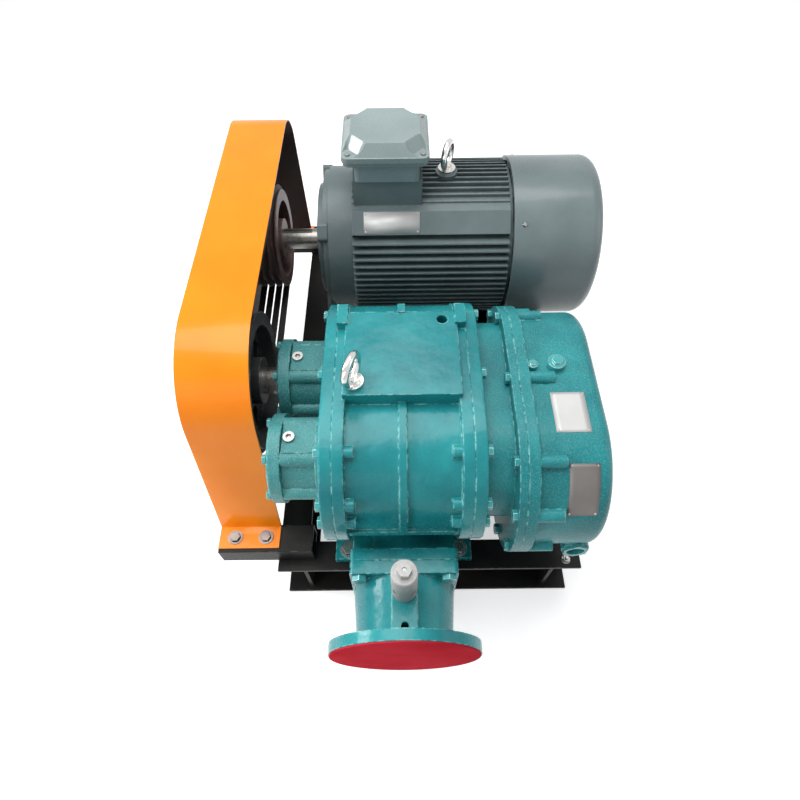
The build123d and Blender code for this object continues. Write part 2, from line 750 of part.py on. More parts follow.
# Suction neck: a square flange on the casing, a tapering neck and the round
# suction flange, with a flat boss along its top for the valve and a gauge hole
neck_y0 = suction_face_y - neck_flange_thickness
flange_y = neck_y0 - neck_length
valve_y = -626
gauge_y = -689
boss_width = 46
boss_top = port_z + neck_radius + 12
valve_thread = 15
gauge_hole = 14
suction_holes = [(pump_x + suction_bolt_circle / 2 * cos(a), port_z + suction_bolt_circle / 2 * sin(a))
                 for a in (2 * pi * (i + 0.5) / suction_bolt_count for i in range(suction_bolt_count))]
with BuildPart() as neck:
    with BuildSketch(facing_front(suction_face_y)):
        with Locations((pump_x, port_z)):
            RectangleRounded(port_square, port_square, 8)
    extrude(amount=neck_flange_thickness)
    with BuildSketch(facing_front(neck_y0)):
        with Locations((pump_x, port_z)):
            Circle(neck_radius + 8)
    with BuildSketch(facing_front(flange_y + suction_flange_thickness)):
        with Locations((pump_x, port_z)):
            Circle(neck_radius)
    loft()
    with BuildSketch(facing_front(flange_y + suction_flange_thickness)):
        with Locations((pump_x, port_z)):
            Circle(suction_flange_radius)
    extrude(amount=suction_flange_thickness)
    box_between((pump_x - boss_width / 2, pump_x + boss_width / 2), (flange_y + 4, neck_y0 + 2),
                (port_z, boss_top))
    with BuildSketch(facing_front(suction_face_y)):
        with Locations((pump_x, port_z)):
            Circle(port_radius)
    extrude(amount=suction_face_y - flange_y, mode=Mode.SUBTRACT)
    tapped_holes([Plane(origin=(x, neck_y0, z), z_dir=(0, -1, 0)) for x, z in port_corners],
                 port_bolt, neck_flange_thickness)
    tapped_holes([Plane(origin=(x, flange_y, z), z_dir=(0, -1, 0)) for x, z in suction_holes],
                 suction_bolt_hole, suction_flange_thickness)
    tapped_holes([Plane(origin=(pump_x, y, boss_top), z_dir=(0, 0, 1)) for y in (gauge_y, valve_y)],
                 gauge_hole, boss_top - port_z)
    tapped_holes([Plane(origin=(pump_x, valve_y, boss_top), z_dir=(0, 0, 1))], 2 * valve_thread, 12)
save(neck, "suction_neck")
hex_bolts("neck_bolts", [Plane(origin=(x, neck_y0, z), z_dir=(0, -1, 0)) for x, z in port_corners],
          port_bolt, neck_flange_thickness + port_flange_thickness)

with BuildPart() as port_cover:
    with BuildSketch(facing_front(flange_y)):
        with Locations((pump_x, port_z)):
            Circle(cover_radius)
        with Locations(*suction_holes):
            Circle(suction_bolt_hole / 2, mode=Mode.SUBTRACT)
    extrude(amount=cover_thickness)
save(port_cover, "suction_port_cover")

# Relief valve on the neck: body, spring-loaded poppet on its seat, and cap
valve_radius = 23
valve_bore = 18
valve_height = 100
valve_base = boss_top
poppet_lift = 5
seat_height = 12
valve_vent = 7
with BuildPart() as valve_body:
    with BuildSketch(Plane.XY.offset(valve_base)):
        with Locations((pump_x, valve_y)):
            Circle(valve_radius)
    extrude(amount=valve_height)
    chamfer(valve_body.edges().filter_by(GeomType.CIRCLE).group_by(Axis.Z)[-1], 2)
    with BuildSketch(Plane.XY.offset(valve_base)):
        with Locations((pump_x, valve_y)):
            Circle(valve_thread)
    extrude(amount=-11)
    with BuildSketch(Plane.XY.offset(valve_base + seat_height)):
        with Locations((pump_x, valve_y)):
            Circle(valve_bore)
    extrude(amount=valve_height, mode=Mode.SUBTRACT)
    with Locations((pump_x, valve_y, valve_base)):
        Cylinder(gauge_hole / 2, 40, mode=Mode.SUBTRACT)
    with Locations((pump_x, valve_y, valve_base + seat_height + 22)):
        with PolarLocations(valve_radius, 4, start_angle=45):
            Cylinder(valve_vent, 16, rotation=(0, 90, 0), mode=Mode.SUBTRACT)
save(valve_body, "relief_valve_body")

with BuildPart() as poppet:
    with BuildSketch(Plane.XY.offset(valve_base + seat_height)):
        with Locations((pump_x, valve_y)):
            Circle(valve_bore - 1.5)
    extrude(amount=6)
    with BuildSketch(Plane.XY.offset(valve_base + seat_height + 6)):
        with Locations((pump_x, valve_y)):
            Circle(4)
    extrude(amount=valve_height - seat_height + 6)
save(poppet, "relief_poppet")

cap_top = valve_base + valve_height
with BuildPart() as valve_cap:
    with BuildSketch(Plane.XY.offset(cap_top - 12)):
        with Locations((pump_x, valve_y)):
            Circle(valve_bore)
    extrude(amount=12)
    with BuildSketch(Plane.XY.offset(cap_top)):
        with Locations((pump_x, valve_y)):
            RegularPolygon(13, 6)
    extrude(amount=14)
    with Locations((pump_x, valve_y, cap_top)):
        Cylinder(4 + running_gap, 60, mode=Mode.SUBTRACT)
save(valve_cap, "relief_valve_cap")

spring_wire = 2
spring_radius = 11
spring_turns = 5
spring_z0 = valve_base + seat_height + 6 + spring_wire / 2
spring_z1 = cap_top - 12 - spring_wire / 2
with BuildPart() as spring:
    with BuildLine() as coil:
        Helix((spring_z1 - spring_z0) / spring_turns, spring_z1 - spring_z0, spring_radius,
              center=(pump_x, valve_y, spring_z0))
    with BuildSketch(Plane(origin=coil.line @ 0, z_dir=coil.line % 0, x_dir=(0, 0, 1))):
        Rectangle(spring_wire, spring_wire)
    sweep(is_frenet=True)
save(spring, "relief_spring")

# Lifting eyes: one on the pump, one on the motor
motor_eye = (48, motor_axis_y, axis_z + motor_fin_radius + 6)
eye_places = ((*lift_places[0], pad_top), motor_eye)
eye_ring = 26
eye_wire = 7
with BuildPart() as eyes:
    for x, y, z in eye_places:
        with BuildSketch(Plane.XY.offset(z)):
            with Locations((x, y)):
                Circle(19)
        extrude(amount=8)
        with BuildSketch(Plane.XY.offset(z)):
            with Locations((x, y)):
                Circle(lift_bolt / 2)
        extrude(amount=-28)
        with BuildSketch(Plane.XY.offset(z)):
            with Locations((x, y)):
                Circle(11)
        extrude(amount=16)
        with Locations(Location((x, y, z + eye_ring + eye_wire + 5), (90, 70, 0))):
            Torus(eye_ring, eye_wire)
save(eyes, "lifting_eyebolts")

# Belt drive: two grooved pulleys keyed to their shafts, and the wedge belts
belt_loop_top = 1.5
pulleys = {"pump": (rear_axis_y, pump_pulley_radius, shaft_radius),
           "motor": (motor_axis_y, motor_pulley_radius, motor_shaft_radius)}
groove_depth = belt_depth + 3
rim_wall = 10
hub_radius = 48
web = 24
belt_offsets = [(i - (belt_count - 1) / 2) * belt_pitch for i in range(belt_count)]


def wedge(top, depth, angle):
    """Half widths of a belt or groove section at its top and at a depth."""
    return top / 2, top / 2 - depth * tan(radians(angle))


for name, (axis_y, radius, bore) in pulleys.items():
    shaft_line = Axis((0, axis_y, axis_z), (1, 0, 0))
    rim_inner = radius - groove_depth - rim_wall
    with BuildPart() as pulley:
        with BuildSketch(Plane.XZ.offset(-axis_y)):
            with Locations((pulley_x, axis_z + (radius + rim_inner) / 2)):
                Rectangle(pulley_width, radius - rim_inner)
            with Locations((pulley_x, axis_z + (rim_inner + bore) / 2)):
                Rectangle(web, rim_inner - bore + 2)
            with Locations((pulley_x, axis_z + (hub_radius + bore) / 2)):
                Rectangle(pulley_width, hub_radius - bore)
            top_half, low_half = wedge(belt_top, groove_depth, belt_angle)
            for offset_x in belt_offsets:
                x = pulley_x + offset_x
                z = axis_z + radius
                Polygon((x - top_half - belt_gap, z + 0.1), (x - low_half - belt_gap, z - groove_depth),
                        (x + low_half + belt_gap, z - groove_depth), (x + top_half + belt_gap, z + 0.1),
                        align=None, mode=Mode.SUBTRACT)
            with Locations((pulley_x, axis_z + bore / 2)):
                Rectangle(pulley_width + 2, bore, mode=Mode.SUBTRACT)
        revolve(axis=shaft_line)
        with BuildSketch(across(pulley_x - web)):
            with Locations((axis_y, axis_z)):
                with PolarLocations((rim_inner + hub_radius) / 2, 6 if radius > 130 else 4):
                    Circle((rim_inner - hub_radius) * 0.32)
        extrude(amount=2 * web, mode=Mode.SUBTRACT)
    save(pulley, f"{name}_pulley")


def belt_loop(x, drop):
    """The closed line of a belt's top, a drop below the pulleys' rims."""
    pump_r = pump_pulley_radius - drop
    motor_r = motor_pulley_radius - drop
    lean = acos((pump_r - motor_r) / (motor_axis_y - rear_axis_y))
    ends = [(y + r * cos(lean), r * sin(lean)) for y, r in ((rear_axis_y, pump_r), (motor_axis_y, motor_r))]
    with BuildLine(across(x)) as loop:
        Line((ends[0][0], axis_z + ends[0][1]), (ends[1][0], axis_z + ends[1][1]))
        ThreePointArc((ends[1][0], axis_z + ends[1][1]), (motor_axis_y + motor_r, axis_z),
                      (ends[1][0], axis_z - ends[1][1]))
        Line((ends[1][0], axis_z - ends[1][1]), (ends[0][0], axis_z - ends[0][1]))
        ThreePointArc((ends[0][0], axis_z - ends[0][1]), (rear_axis_y - pump_r, axis_z),
                      (ends[0][0], axis_z + ends[0][1]))
    return loop


with BuildPart() as belts:
    for offset_x in belt_offsets:
        loop = belt_loop(pulley_x + offset_x, belt_loop_top)
        start = loop.line @ 0
        with BuildSketch(Plane(origin=start, z_dir=loop.line % 0, x_dir=(1, 0, 0))) as section:
            top_half, low_half = wedge(belt_top, belt_depth + belt_loop_top, belt_angle)
            slope = belt_loop_top * tan(radians(belt_angle))
            Polygon((-top_half + slope, 0), (-low_half, -belt_depth), (low_half, -belt_depth),
                    (top_half - slope, 0), align=None)
        sweep(sections=section.sketch, path=loop.line)
save(belts, "drive_belts")

# Belt guard: one bent sheet over the drive, closed on its outer side and
# open towards the pump, on two turned-out feet
guard_height = guard_top_z - guard_foot_z
guard_front_radius = 172
guard_rear_radius = 90
guard_rear_lean = 35
guard_bolt = 12
with BuildPart() as guard:
    with BuildSketch(across(guard_x0)) as guard_side:
        with BuildLine():
            hood = FilletPolyline((guard_front_y, guard_foot_z),
                                  (guard_front_y + guard_slope * guard_height, guard_top_z),
                                  (guard_rear_y - guard_rear_lean, guard_top_z), (guard_rear_y, guard_foot_z),
                                  radius=[guard_front_radius, guard_rear_radius])
            Line(hood @ 1, hood @ 0)
        make_face()
    extrude(amount=guard_width)
    with BuildSketch(across(guard_x0 + guard_sheet)):
        add(guard_side.sketch_local)
        offset(amount=-guard_sheet)
    extrude(amount=guard_width, mode=Mode.SUBTRACT)
    box_between((guard_x0 + guard_sheet, guard_x0 + guard_width + 1),
                (guard_front_y + guard_sheet + 0.5, guard_rear_y - guard_sheet - 0.5),
                (guard_foot_z - 1, guard_foot_z + guard_sheet + 1), Mode.SUBTRACT)
    for foot_y0, foot_y1 in ((guard_front_y - guard_foot_length, guard_front_y + 4),
                             (guard_rear_y - 4, guard_rear_y + guard_foot_length)):
        box_between((guard_x0, guard_x0 + guard_width), (foot_y0, foot_y1),
                    (guard_foot_z, guard_foot_z + guard_sheet))
    guard_bolt_places = [Plane(origin=(guard_x0 + x, y, guard_foot_z + guard_sheet), z_dir=(0, 0, 1))
                         for x in (34, guard_width - 30)
                         for y in (guard_front_y - guard_foot_length / 2, guard_rear_y + guard_foot_length / 2)]
    tapped_holes(guard_bolt_places, guard_bolt, guard_sheet)
save(guard, "belt_guard")

# Brackets: lengths of box section that reach out from the base to the guard
bracket_wall = 5
bracket_x1 = -250
bracket_y = {"front": (-506, -446), "rear": (468, 528)}
for name, (low, high) in bracket_y.items():
    with BuildPart() as bracket:
        with BuildSketch(across(guard_x0)):
            with Locations(((low + high) / 2, (channel_height + guard_foot_z) / 2)):
                Rectangle(high - low, guard_foot_z - channel_height)
                Rectangle(high - low - 2 * bracket_wall, guard_foot_z - channel_height - 2 * bracket_wall,
                          mode=Mode.SUBTRACT)
        extrude(amount=bracket_x1 - guard_x0)
        tapped_holes([p for p in guard_bolt_places if low < p.origin.Y < high], guard_bolt,
                     guard_sheet + bracket_wall)
    save(bracket, f"guard_{name}_bracket")
hex_bolts("guard_bolts", guard_bolt_places, guard_bolt, guard_sheet + bracket_wall + 4)

# Motor frame: a barrel with cooling fins, upright ones on top and level ones
# on both sides, feet, a raised panel on its front shoulder and a box seat
fin_count = 7
panel = ((-12, 172), (-97, 155), (-134, 121), (-95, 95), (-12, 140))
box_seat_x = (-155, -8)
box_seat_y = (125, 265)
box_z0 = 659
box_z1 = 705
lid_height = 35
foot_pad = (62, 66, 20)
stand_width = 60
foot_z = axis_z - motor_height
foot_x_places = (motor_face_x + foot_first_hole, motor_face_x + foot_first_hole + foot_hole_length)
foot_y_places = (motor_axis_y - foot_hole_width / 2, motor_axis_y + foot_hole_width / 2)
motor_bolt = 14
motor_foot_places = [Plane(origin=(x, y, foot_z + foot_pad[2]), z_dir=(0, 0, 1))
                     for x in foot_x_places for y in foot_y_places]
fin_half = motor_fin_radius
ring_x1 = -160
ring_radius = 166
fin_x1 = motor_frame_x1 - 8
with BuildPart() as motor_frame:
    with BuildSketch(across(ring_x1)):
        with Locations((motor_axis_y, axis_z)):
            with Locations(*[(0, i * fin_pitch) for i in range(-fin_count, fin_count + 1)]):
                Rectangle(2 * fin_half, fin_thickness)
            with Locations(*[(i * fin_pitch, fin_half / 2) for i in range(-fin_count, fin_count + 1)]):
                Rectangle(fin_thickness, fin_half)
            Circle(motor_fin_radius, mode=Mode.INTERSECT)
            Circle(motor_barrel)
            Polygon(*panel, align=None)
    extrude(amount=fin_x1 - ring_x1)
    for start, end, radius in ((motor_frame_x0, ring_x1, ring_radius), (fin_x1, motor_frame_x1, ring_radius)):
        with BuildSketch(across(start)):
            with Locations((motor_axis_y, axis_z)):
                Circle(radius)
        extrude(amount=end - start)
    box_between(box_seat_x, box_seat_y, (axis_z + motor_bore, box_z0))
    with Locations(motor_eye):
        Cylinder(24, 60, align=(Align.CENTER, Align.CENTER, Align.MAX))
    for x in foot_x_places:
        for side, y in zip((-1, 1), foot_y_places):
            box_between((x - foot_pad[0] / 2, x + foot_pad[0] / 2), (y - foot_pad[1] / 2, y + foot_pad[1] / 2),
                        (foot_z, foot_z + foot_pad[2]))
            web_edge = y - side * foot_pad[1] / 2
            box_between((x - foot_pad[0] / 2, x + foot_pad[0] / 2), sorted((web_edge, web_edge + side * 14)),
                        (foot_z, axis_z - 95))
    with BuildSketch(across(motor_frame_x0)):
        with Locations((motor_axis_y, axis_z)):
            Circle(motor_bore)
    extrude(amount=motor_frame_x1 - motor_frame_x0, mode=Mode.SUBTRACT)
    tapped_holes(motor_foot_places, motor_bolt, foot_pad[2])
    tapped_holes([Plane(origin=motor_eye, z_dir=(0, 0, 1))], lift_bolt, 28)
save(motor_frame, "motor_frame")
hex_bolts("motor_foot_bolts", motor_foot_places, motor_bolt, foot_pad[2] + 6)

# Motor stand: two lengths of box section over the base's cross beams
stand_wall = 6
for name, x in zip(("left", "right"), foot_x_places):
    with BuildPart() as stand:
        with BuildSketch(facing_front(motor_beam_rear)):
            with Locations((x, (channel_height + foot_z) / 2)):
                Rectangle(stand_width, foot_z - channel_height)
                Rectangle(stand_width - 2 * stand_wall, foot_z - channel_height - 2 * stand_wall,
                          mode=Mode.SUBTRACT)
        extrude(amount=motor_beam_rear - motor_beam_front + 13)
        tapped_holes([Plane(origin=(x, y, foot_z), z_dir=(0, 0, 1)) for y in foot_y_places], motor_bolt, 6)
    save(stand, f"motor_stand_{name}")

# End shields: the drive-end one steps in to its bearing, the fan-end one has
# air windows and holds the cowl
motor_bearing = (motor_shaft_radius, 55, 27)
shield_reach = motor_frame_x0 - motor_face_x
seal_gap = 1.5
with BuildPart() as drive_shield:
    for x, depth, radius in ((motor_frame_x0 - 12, 12, 158), (motor_frame_x0 - 26, 14, 128),
                             (motor_face_x, 9, 72)):
        with BuildSketch(across(x)):
            with Locations((motor_axis_y, axis_z)):
                Circle(radius)
        extrude(amount=depth)
    with BuildSketch(across(motor_frame_x0 - 22)):
        with Locations((motor_axis_y, axis_z)):
            with PolarLocations(146, 4, start_angle=45):
                RectangleRounded(46, 40, 8)
    extrude(amount=22)
    with BuildSketch(across(motor_frame_x0 - motor_bearing[2])):
        with Locations((motor_axis_y, axis_z)):
            Circle(motor_bearing[1])
    extrude(amount=motor_bearing[2], mode=Mode.SUBTRACT)
    with BuildSketch(across(motor_face_x)):
        with Locations((motor_axis_y, axis_z)):
            Circle(motor_shaft_radius + seal_gap)
    extrude(amount=shield_reach, mode=Mode.SUBTRACT)
save(drive_shield, "motor_drive_shield")

fan_shield = 30
with BuildPart() as rear_shield:
    with BuildSketch(across(motor_frame_x1)):
        with Locations((motor_axis_y, axis_z)):
            Circle(cowl_radius - cowl_sheet)
            with PolarLocations(164, 12):
                RectangleRounded(20, 56, 6, mode=Mode.SUBTRACT)
            Circle(motor_shaft_radius + seal_gap, mode=Mode.SUBTRACT)
    extrude(amount=12)
    with BuildSketch(across(motor_frame_x1)):
        with Locations((motor_axis_y, axis_z)):
            Circle(motor_bearing[1] + 14)
            Circle(motor_shaft_radius + seal_gap, mode=Mode.SUBTRACT)
    extrude(amount=fan_shield + 8)
    with BuildSketch(across(motor_frame_x1)):
        with Locations((motor_axis_y, axis_z)):
            Circle(motor_bearing[1])
    extrude(amount=motor_bearing[2], mode=Mode.SUBTRACT)
save(rear_shield, "motor_fan_shield")
motor_seats = [(x, motor_axis_y) for x in (motor_frame_x0 - motor_bearing[2], motor_frame_x1)]
bearings("motor_bearings", motor_seats, motor_bearing[0] + running_gap, motor_bearing[1] - 0.02, motor_bearing[2])

# Fan cowl: a deep pressed cup with a slotted end
cowl_round = 28
slot_count = 20
with BuildPart() as cowl:
    with BuildSketch(across(motor_frame_x1)):
        with Locations((motor_axis_y, axis_z)):
            Circle(cowl_radius)
    extrude(amount=cowl_end_x - motor_frame_x1)
    fillet(cowl.faces().sort_by(Axis.X)[-1].outer_wire().edges(), cowl_round)
    offset(amount=-cowl_sheet, openings=cowl.faces().sort_by(Axis.X)[0])
    with BuildSketch(across(cowl_end_x - 5)):
        with Locations((motor_axis_y, axis_z)):
            with PolarLocations(95, slot_count):
                SlotOverall(80, 8)
    extrude(amount=10, mode=Mode.SUBTRACT)
save(cowl, "motor_fan_cowl")

# What turns in the motor: shaft, rotor core and fan; and the wound stator
core_x = (-140, 120)
air_gap = 0.8
core_radius = 87
fan_x0 = fan_shield + motor_frame_x1 + 30
fan_width = 58
with BuildPart() as motor_shaft:
    with BuildSketch(across(pulley_x0 - 3)):
        with Locations((motor_axis_y, axis_z)):
            Circle(motor_shaft_radius)
    extrude(amount=fan_x0 + fan_width - pulley_x0)
    chamfer(motor_shaft.edges().filter_by(GeomType.CIRCLE), 2)
    box_between((pulley_x0 - 1, motor_face_x - 20), (motor_axis_y - 7, motor_axis_y + 7),
                (axis_z + motor_shaft_radius - 5.5, axis_z + motor_shaft_radius + 1), Mode.SUBTRACT)
    with BuildSketch(across(core_x[0])):
        with Locations((motor_axis_y, axis_z)):
            Circle(core_radius)
    extrude(amount=core_x[1] - core_x[0])
save(motor_shaft, "motor_rotor")
with BuildPart() as stator:
    with BuildSketch(across(core_x[0])):
        with Locations((motor_axis_y, axis_z)):
            Circle(motor_bore)
            Circle(core_radius + air_gap, mode=Mode.SUBTRACT)
    extrude(amount=core_x[1] - core_x[0])
save(stator, "motor_stator")
fan_radius = 155
with BuildPart() as fan:
    with BuildSketch(across(fan_x0)):
        with Locations((motor_axis_y, axis_z)):
            Circle(fan_radius)
            Circle(motor_shaft_radius, mode=Mode.SUBTRACT)
    extrude(amount=4)
    with BuildSketch(across(fan_x0)):
        with Locations((motor_axis_y, axis_z)):
            Circle(42)
            with PolarLocations(fan_radius / 2 + 15, 8):
                Rectangle(fan_radius - 40, 5)
            Circle(motor_shaft_radius, mode=Mode.SUBTRACT)
    extrude(amount=fan_width)
save(fan, "motor_fan")

# Terminal box and its bevelled lid, held by four screws
box_wall = 5
box_x = (-149, -14)
box_y = (121, 269)
lid_x = (-173, 5)
lid_y = (115, 275)
screw = 6
with BuildPart() as terminal_box:
    with BuildSketch(Plane.XY.offset(box_z0)):
        with Locations(((box_x[0] + box_x[1]) / 2, (box_y[0] + box_y[1]) / 2)):
            RectangleRounded(box_x[1] - box_x[0], box_y[1] - box_y[0], 10)
    extrude(amount=box_z1 - box_z0)
    with BuildSketch(Plane.XY.offset(box_z1 - 8)):
        with Locations(((lid_x[0] + lid_x[1]) / 2, (lid_y[0] + lid_y[1]) / 2)):
            RectangleRounded(lid_x[1] - lid_x[0] - 4, lid_y[1] - lid_y[0] - 4, 14)
    extrude(amount=8)
    box_between((box_x[0] + box_wall, box_x[1] - box_wall), (box_y[0] + box_wall, box_y[1] - box_wall),
                (box_z0 + box_wall, box_z1 + 1), Mode.SUBTRACT)
screw_places = [Plane(origin=(x, y, box_z1 + 12), z_dir=(0, 0, 1))
                for x in (lid_x[0] + 13, lid_x[1] - 13) for y in (lid_y[0] + 13, lid_y[1] - 13)]
with terminal_box:
    tapped_holes(screw_places, screw, 20)
save(terminal_box, "terminal_box")
with BuildPart() as lid:
    with BuildSketch(Plane.XY.offset(box_z1)):
        with Locations(((lid_x[0] + lid_x[1]) / 2, (lid_y[0] + lid_y[1]) / 2)):
            RectangleRounded(lid_x[1] - lid_x[0], lid_y[1] - lid_y[0], 14)
    extrude(amount=12)
    with BuildSketch(Plane.XY.offset(box_z1 + 12)):
        with Locations(((lid_x[0] + lid_x[1]) / 2, (lid_y[0] + lid_y[1]) / 2)):
            RectangleRounded(lid_x[1] - lid_x[0] - 4, lid_y[1] - lid_y[0] - 4, 12)
            with GridLocations(lid_x[1] - lid_x[0] - 26, lid_y[1] - lid_y[0] - 26, 2, 2):
                Rectangle(30, 30, rotation=45, mode=Mode.SUBTRACT)
    extrude(amount=lid_height - 12, taper=35)
    tapped_holes(screw_places, screw, 20)
save(lid, "terminal_box_lid")
hex_bolts("terminal_lid_screws", screw_places, screw, 19)
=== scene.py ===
from math import cos, pi, radians, sin

import bmesh
import bpy
from mathutils import Matrix, Vector


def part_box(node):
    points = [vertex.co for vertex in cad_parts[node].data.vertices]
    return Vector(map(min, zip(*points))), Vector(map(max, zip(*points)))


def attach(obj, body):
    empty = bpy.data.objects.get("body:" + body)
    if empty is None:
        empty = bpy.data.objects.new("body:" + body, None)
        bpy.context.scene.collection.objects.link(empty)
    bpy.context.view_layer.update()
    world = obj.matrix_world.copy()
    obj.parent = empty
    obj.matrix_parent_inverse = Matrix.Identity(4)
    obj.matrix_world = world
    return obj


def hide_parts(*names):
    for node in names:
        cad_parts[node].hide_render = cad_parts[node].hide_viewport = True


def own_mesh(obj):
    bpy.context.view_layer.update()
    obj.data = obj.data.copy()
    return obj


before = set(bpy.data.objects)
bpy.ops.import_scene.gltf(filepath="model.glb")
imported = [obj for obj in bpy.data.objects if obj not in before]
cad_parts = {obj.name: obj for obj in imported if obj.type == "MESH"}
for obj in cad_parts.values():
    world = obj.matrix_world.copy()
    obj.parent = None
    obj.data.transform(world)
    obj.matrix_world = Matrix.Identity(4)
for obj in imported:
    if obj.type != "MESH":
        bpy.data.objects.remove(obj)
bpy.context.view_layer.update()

# Studio: a white room with soft light from above, and the camera where the
# photograph was taken from, 1.4 m above the floor and just before the base.
IMAGE_SIDE = 800
FOCAL_PIXELS = 576
CAMERA_PLACE = (-0.060, -0.915, 1.403)
CAMERA_DOWN = radians(56.4)
CAMERA_ROLL = radians(-0.65)
SENSOR = 36
CLIP_START = 0.05
FLOOR_HALF = 14
FLOOR_GREY = (0.74, 0.74, 0.74, 1)
FLOOR_GLOW = 0.6
ROOM_LIGHT = (0.80, 0.84, 0.88, 1)
ROOM_STRENGTH = 0.27
WHITE = (1, 1, 1, 1)

scene = bpy.context.scene
scene.view_settings.view_transform = "Standard"
camera_data = bpy.data.cameras.new("camera")
camera_data.sensor_width = SENSOR
camera_data.lens = SENSOR * FOCAL_PIXELS / IMAGE_SIDE
camera_data.clip_start = CLIP_START
camera = bpy.data.objects.new("camera", camera_data)
camera.matrix_world = (Matrix.Translation(CAMERA_PLACE) @ Matrix.Rotation(pi / 2 - CAMERA_DOWN, 4, "X")
                       @ Matrix.Rotation(CAMERA_ROLL, 4, "Z"))
scene.collection.objects.link(camera)
scene.camera = camera


def soft_box(name, place, aim, size, power):
    """A studio lamp: a rectangle of light that faces a point."""
    data = bpy.data.lights.new(name, "AREA")
    data.shape = "RECTANGLE"
    data.size, data.size_y = size
    data.energy = power
    lamp = bpy.data.objects.new(name, data)
    turn = (Vector(aim) - Vector(place)).to_track_quat("-Z", "Y")
    lamp.matrix_world = Matrix.Translation(place) @ turn.to_matrix().to_4x4()
    scene.collection.objects.link(lamp)


soft_box("roof_light", place=(-0.4, 0.3, 3.4), aim=(0, -0.1, 0.3), size=(3.0, 2.0), power=95)
soft_box("left_light", place=(-2.3, -0.05, 1.55), aim=(0, -0.5, 0.3), size=(0.5, 0.9), power=32)
soft_box("front_light", place=(-1.0, -2.9, 1.9), aim=(0, -0.3, 0.3), size=(2.2, 1.2), power=6)
soft_box("left_front_light", place=(-1.7, -1.5, 0.95), aim=(-0.3, -0.45, 0.3), size=(0.6, 0.7), power=10)
soft_box("right_light", place=(2.9, -0.4, 1.5), aim=(0, 0, 0.4), size=(1.6, 1.8), power=9)


def add_node(tree, kind, inputs=(), **settings):
    """A node with its settings. An input is given a value, or another node's output."""
    node = tree.nodes.new(kind)
    for key, value in settings.items():
        setattr(node, key, value)
    for key, value in dict(inputs).items():
        if isinstance(value, bpy.types.NodeSocket):
            tree.links.new(value, node.inputs[key])
        else:
            node.inputs[key].default_value = value
    return node


def new_material(name):
    """A material, its tree and its shader."""
    material = bpy.data.materials.new(name)
    material.use_nodes = True
    return material, material.node_tree, material.node_tree.nodes["Principled BSDF"]


def calc(tree, operation, a, b=0.0):
    """The result of one sum on two values."""
    return add_node(tree, "ShaderNodeMath", {0: a, 1: b}, operation=operation).outputs[0]


def sees_white(tree):
    """One for the rays that see or mirror the background, nought for those that light the object."""
    path = add_node(tree, "ShaderNodeLightPath")
    mirrored = calc(tree, "MAXIMUM", path.outputs["Is Glossy Ray"], path.outputs["Is Transmission Ray"])
    return calc(tree, "MAXIMUM", path.outputs["Is Camera Ray"], mirrored)


world = bpy.data.worlds.new("white_room")
world.use_nodes = True
scene.world = world
tree = world.node_tree
room = tree.nodes["Background"]
room.inputs["Color"].default_value = ROOM_LIGHT
room.inputs["Strength"].default_value = ROOM_STRENGTH
seen = add_node(tree, "ShaderNodeBackground", {"Color": WHITE, "Strength": 1})
looked_at = add_node(tree, "ShaderNodeMixShader", {0: sees_white(tree), 1: room.outputs[0],
                                                   2: seen.outputs[0]})
tree.links.new(looked_at.outputs[0], tree.nodes["World Output"].inputs["Surface"])

floor_material, tree, shader = new_material("white_floor")
shader.inputs["Base Color"].default_value = FLOOR_GREY
shader.inputs["Roughness"].default_value = 0.7
glow = add_node(tree, "ShaderNodeEmission", {"Strength": FLOOR_GLOW})
glow_seen = add_node(tree, "ShaderNodeMixShader", {0: sees_white(tree), 2: glow.outputs[0]})
both = add_node(tree, "ShaderNodeAddShader", {0: shader.outputs[0], 1: glow_seen.outputs[0]})
tree.links.new(both.outputs[0], tree.nodes["Material Output"].inputs["Surface"])
floor_mesh = bpy.data.meshes.new("floor")
floor_corners = [(x * FLOOR_HALF, y * FLOOR_HALF, 0) for x, y in ((-1, -1), (1, -1), (1, 1), (-1, 1))]
floor_mesh.from_pydata(floor_corners, [], [(0, 1, 2, 3)])
floor_mesh.materials.append(floor_material)
floor = bpy.data.objects.new("floor", floor_mesh)
scene.collection.objects.link(floor)

# Base: rolled steel channel, sawn, welded and brushed with black enamel,
# with box section on it for the motor and out to the belt guard.
BASE_PIECES = ("base_left_rail", "base_right_rail", "base_front_beam", "base_pump_beam",
               "base_motor_front_beam", "base_motor_rear_beam", "base_rear_beam", "motor_stand_left",
               "motor_stand_right", "guard_front_bracket", "guard_rear_bracket")
BLACK_ENAMEL = (0.008, 0.008, 0.008, 1)
DUSTY_BLACK = (0.022, 0.020, 0.018, 1)
BARE_EDGE = (0.16, 0.13, 0.11, 1)


def new_group(name, inputs, outputs):
    """A shader node group with its own sockets."""
    group = bpy.data.node_groups.new(name, "ShaderNodeTree")
    for label, kind, value in inputs:
        socket = group.interface.new_socket(label, in_out="INPUT", socket_type="NodeSocket" + kind)
        if value is not None:
            socket.default_value = value
    for label, kind in outputs:
        group.interface.new_socket(label, in_out="OUTPUT", socket_type="NodeSocket" + kind)
    return group, group.nodes.new("NodeGroupInput"), group.nodes.new("NodeGroupOutput")


def span(tree, value, low, high, to_low=0.0, to_high=1.0):
    """A value between two marks, spread over a new range and held inside it."""
    inputs = {"Value": value, "From Min": low, "From Max": high, "To Min": to_low, "To Max": to_high}
    return add_node(tree, "ShaderNodeMapRange", inputs, clamp=True).outputs[0]


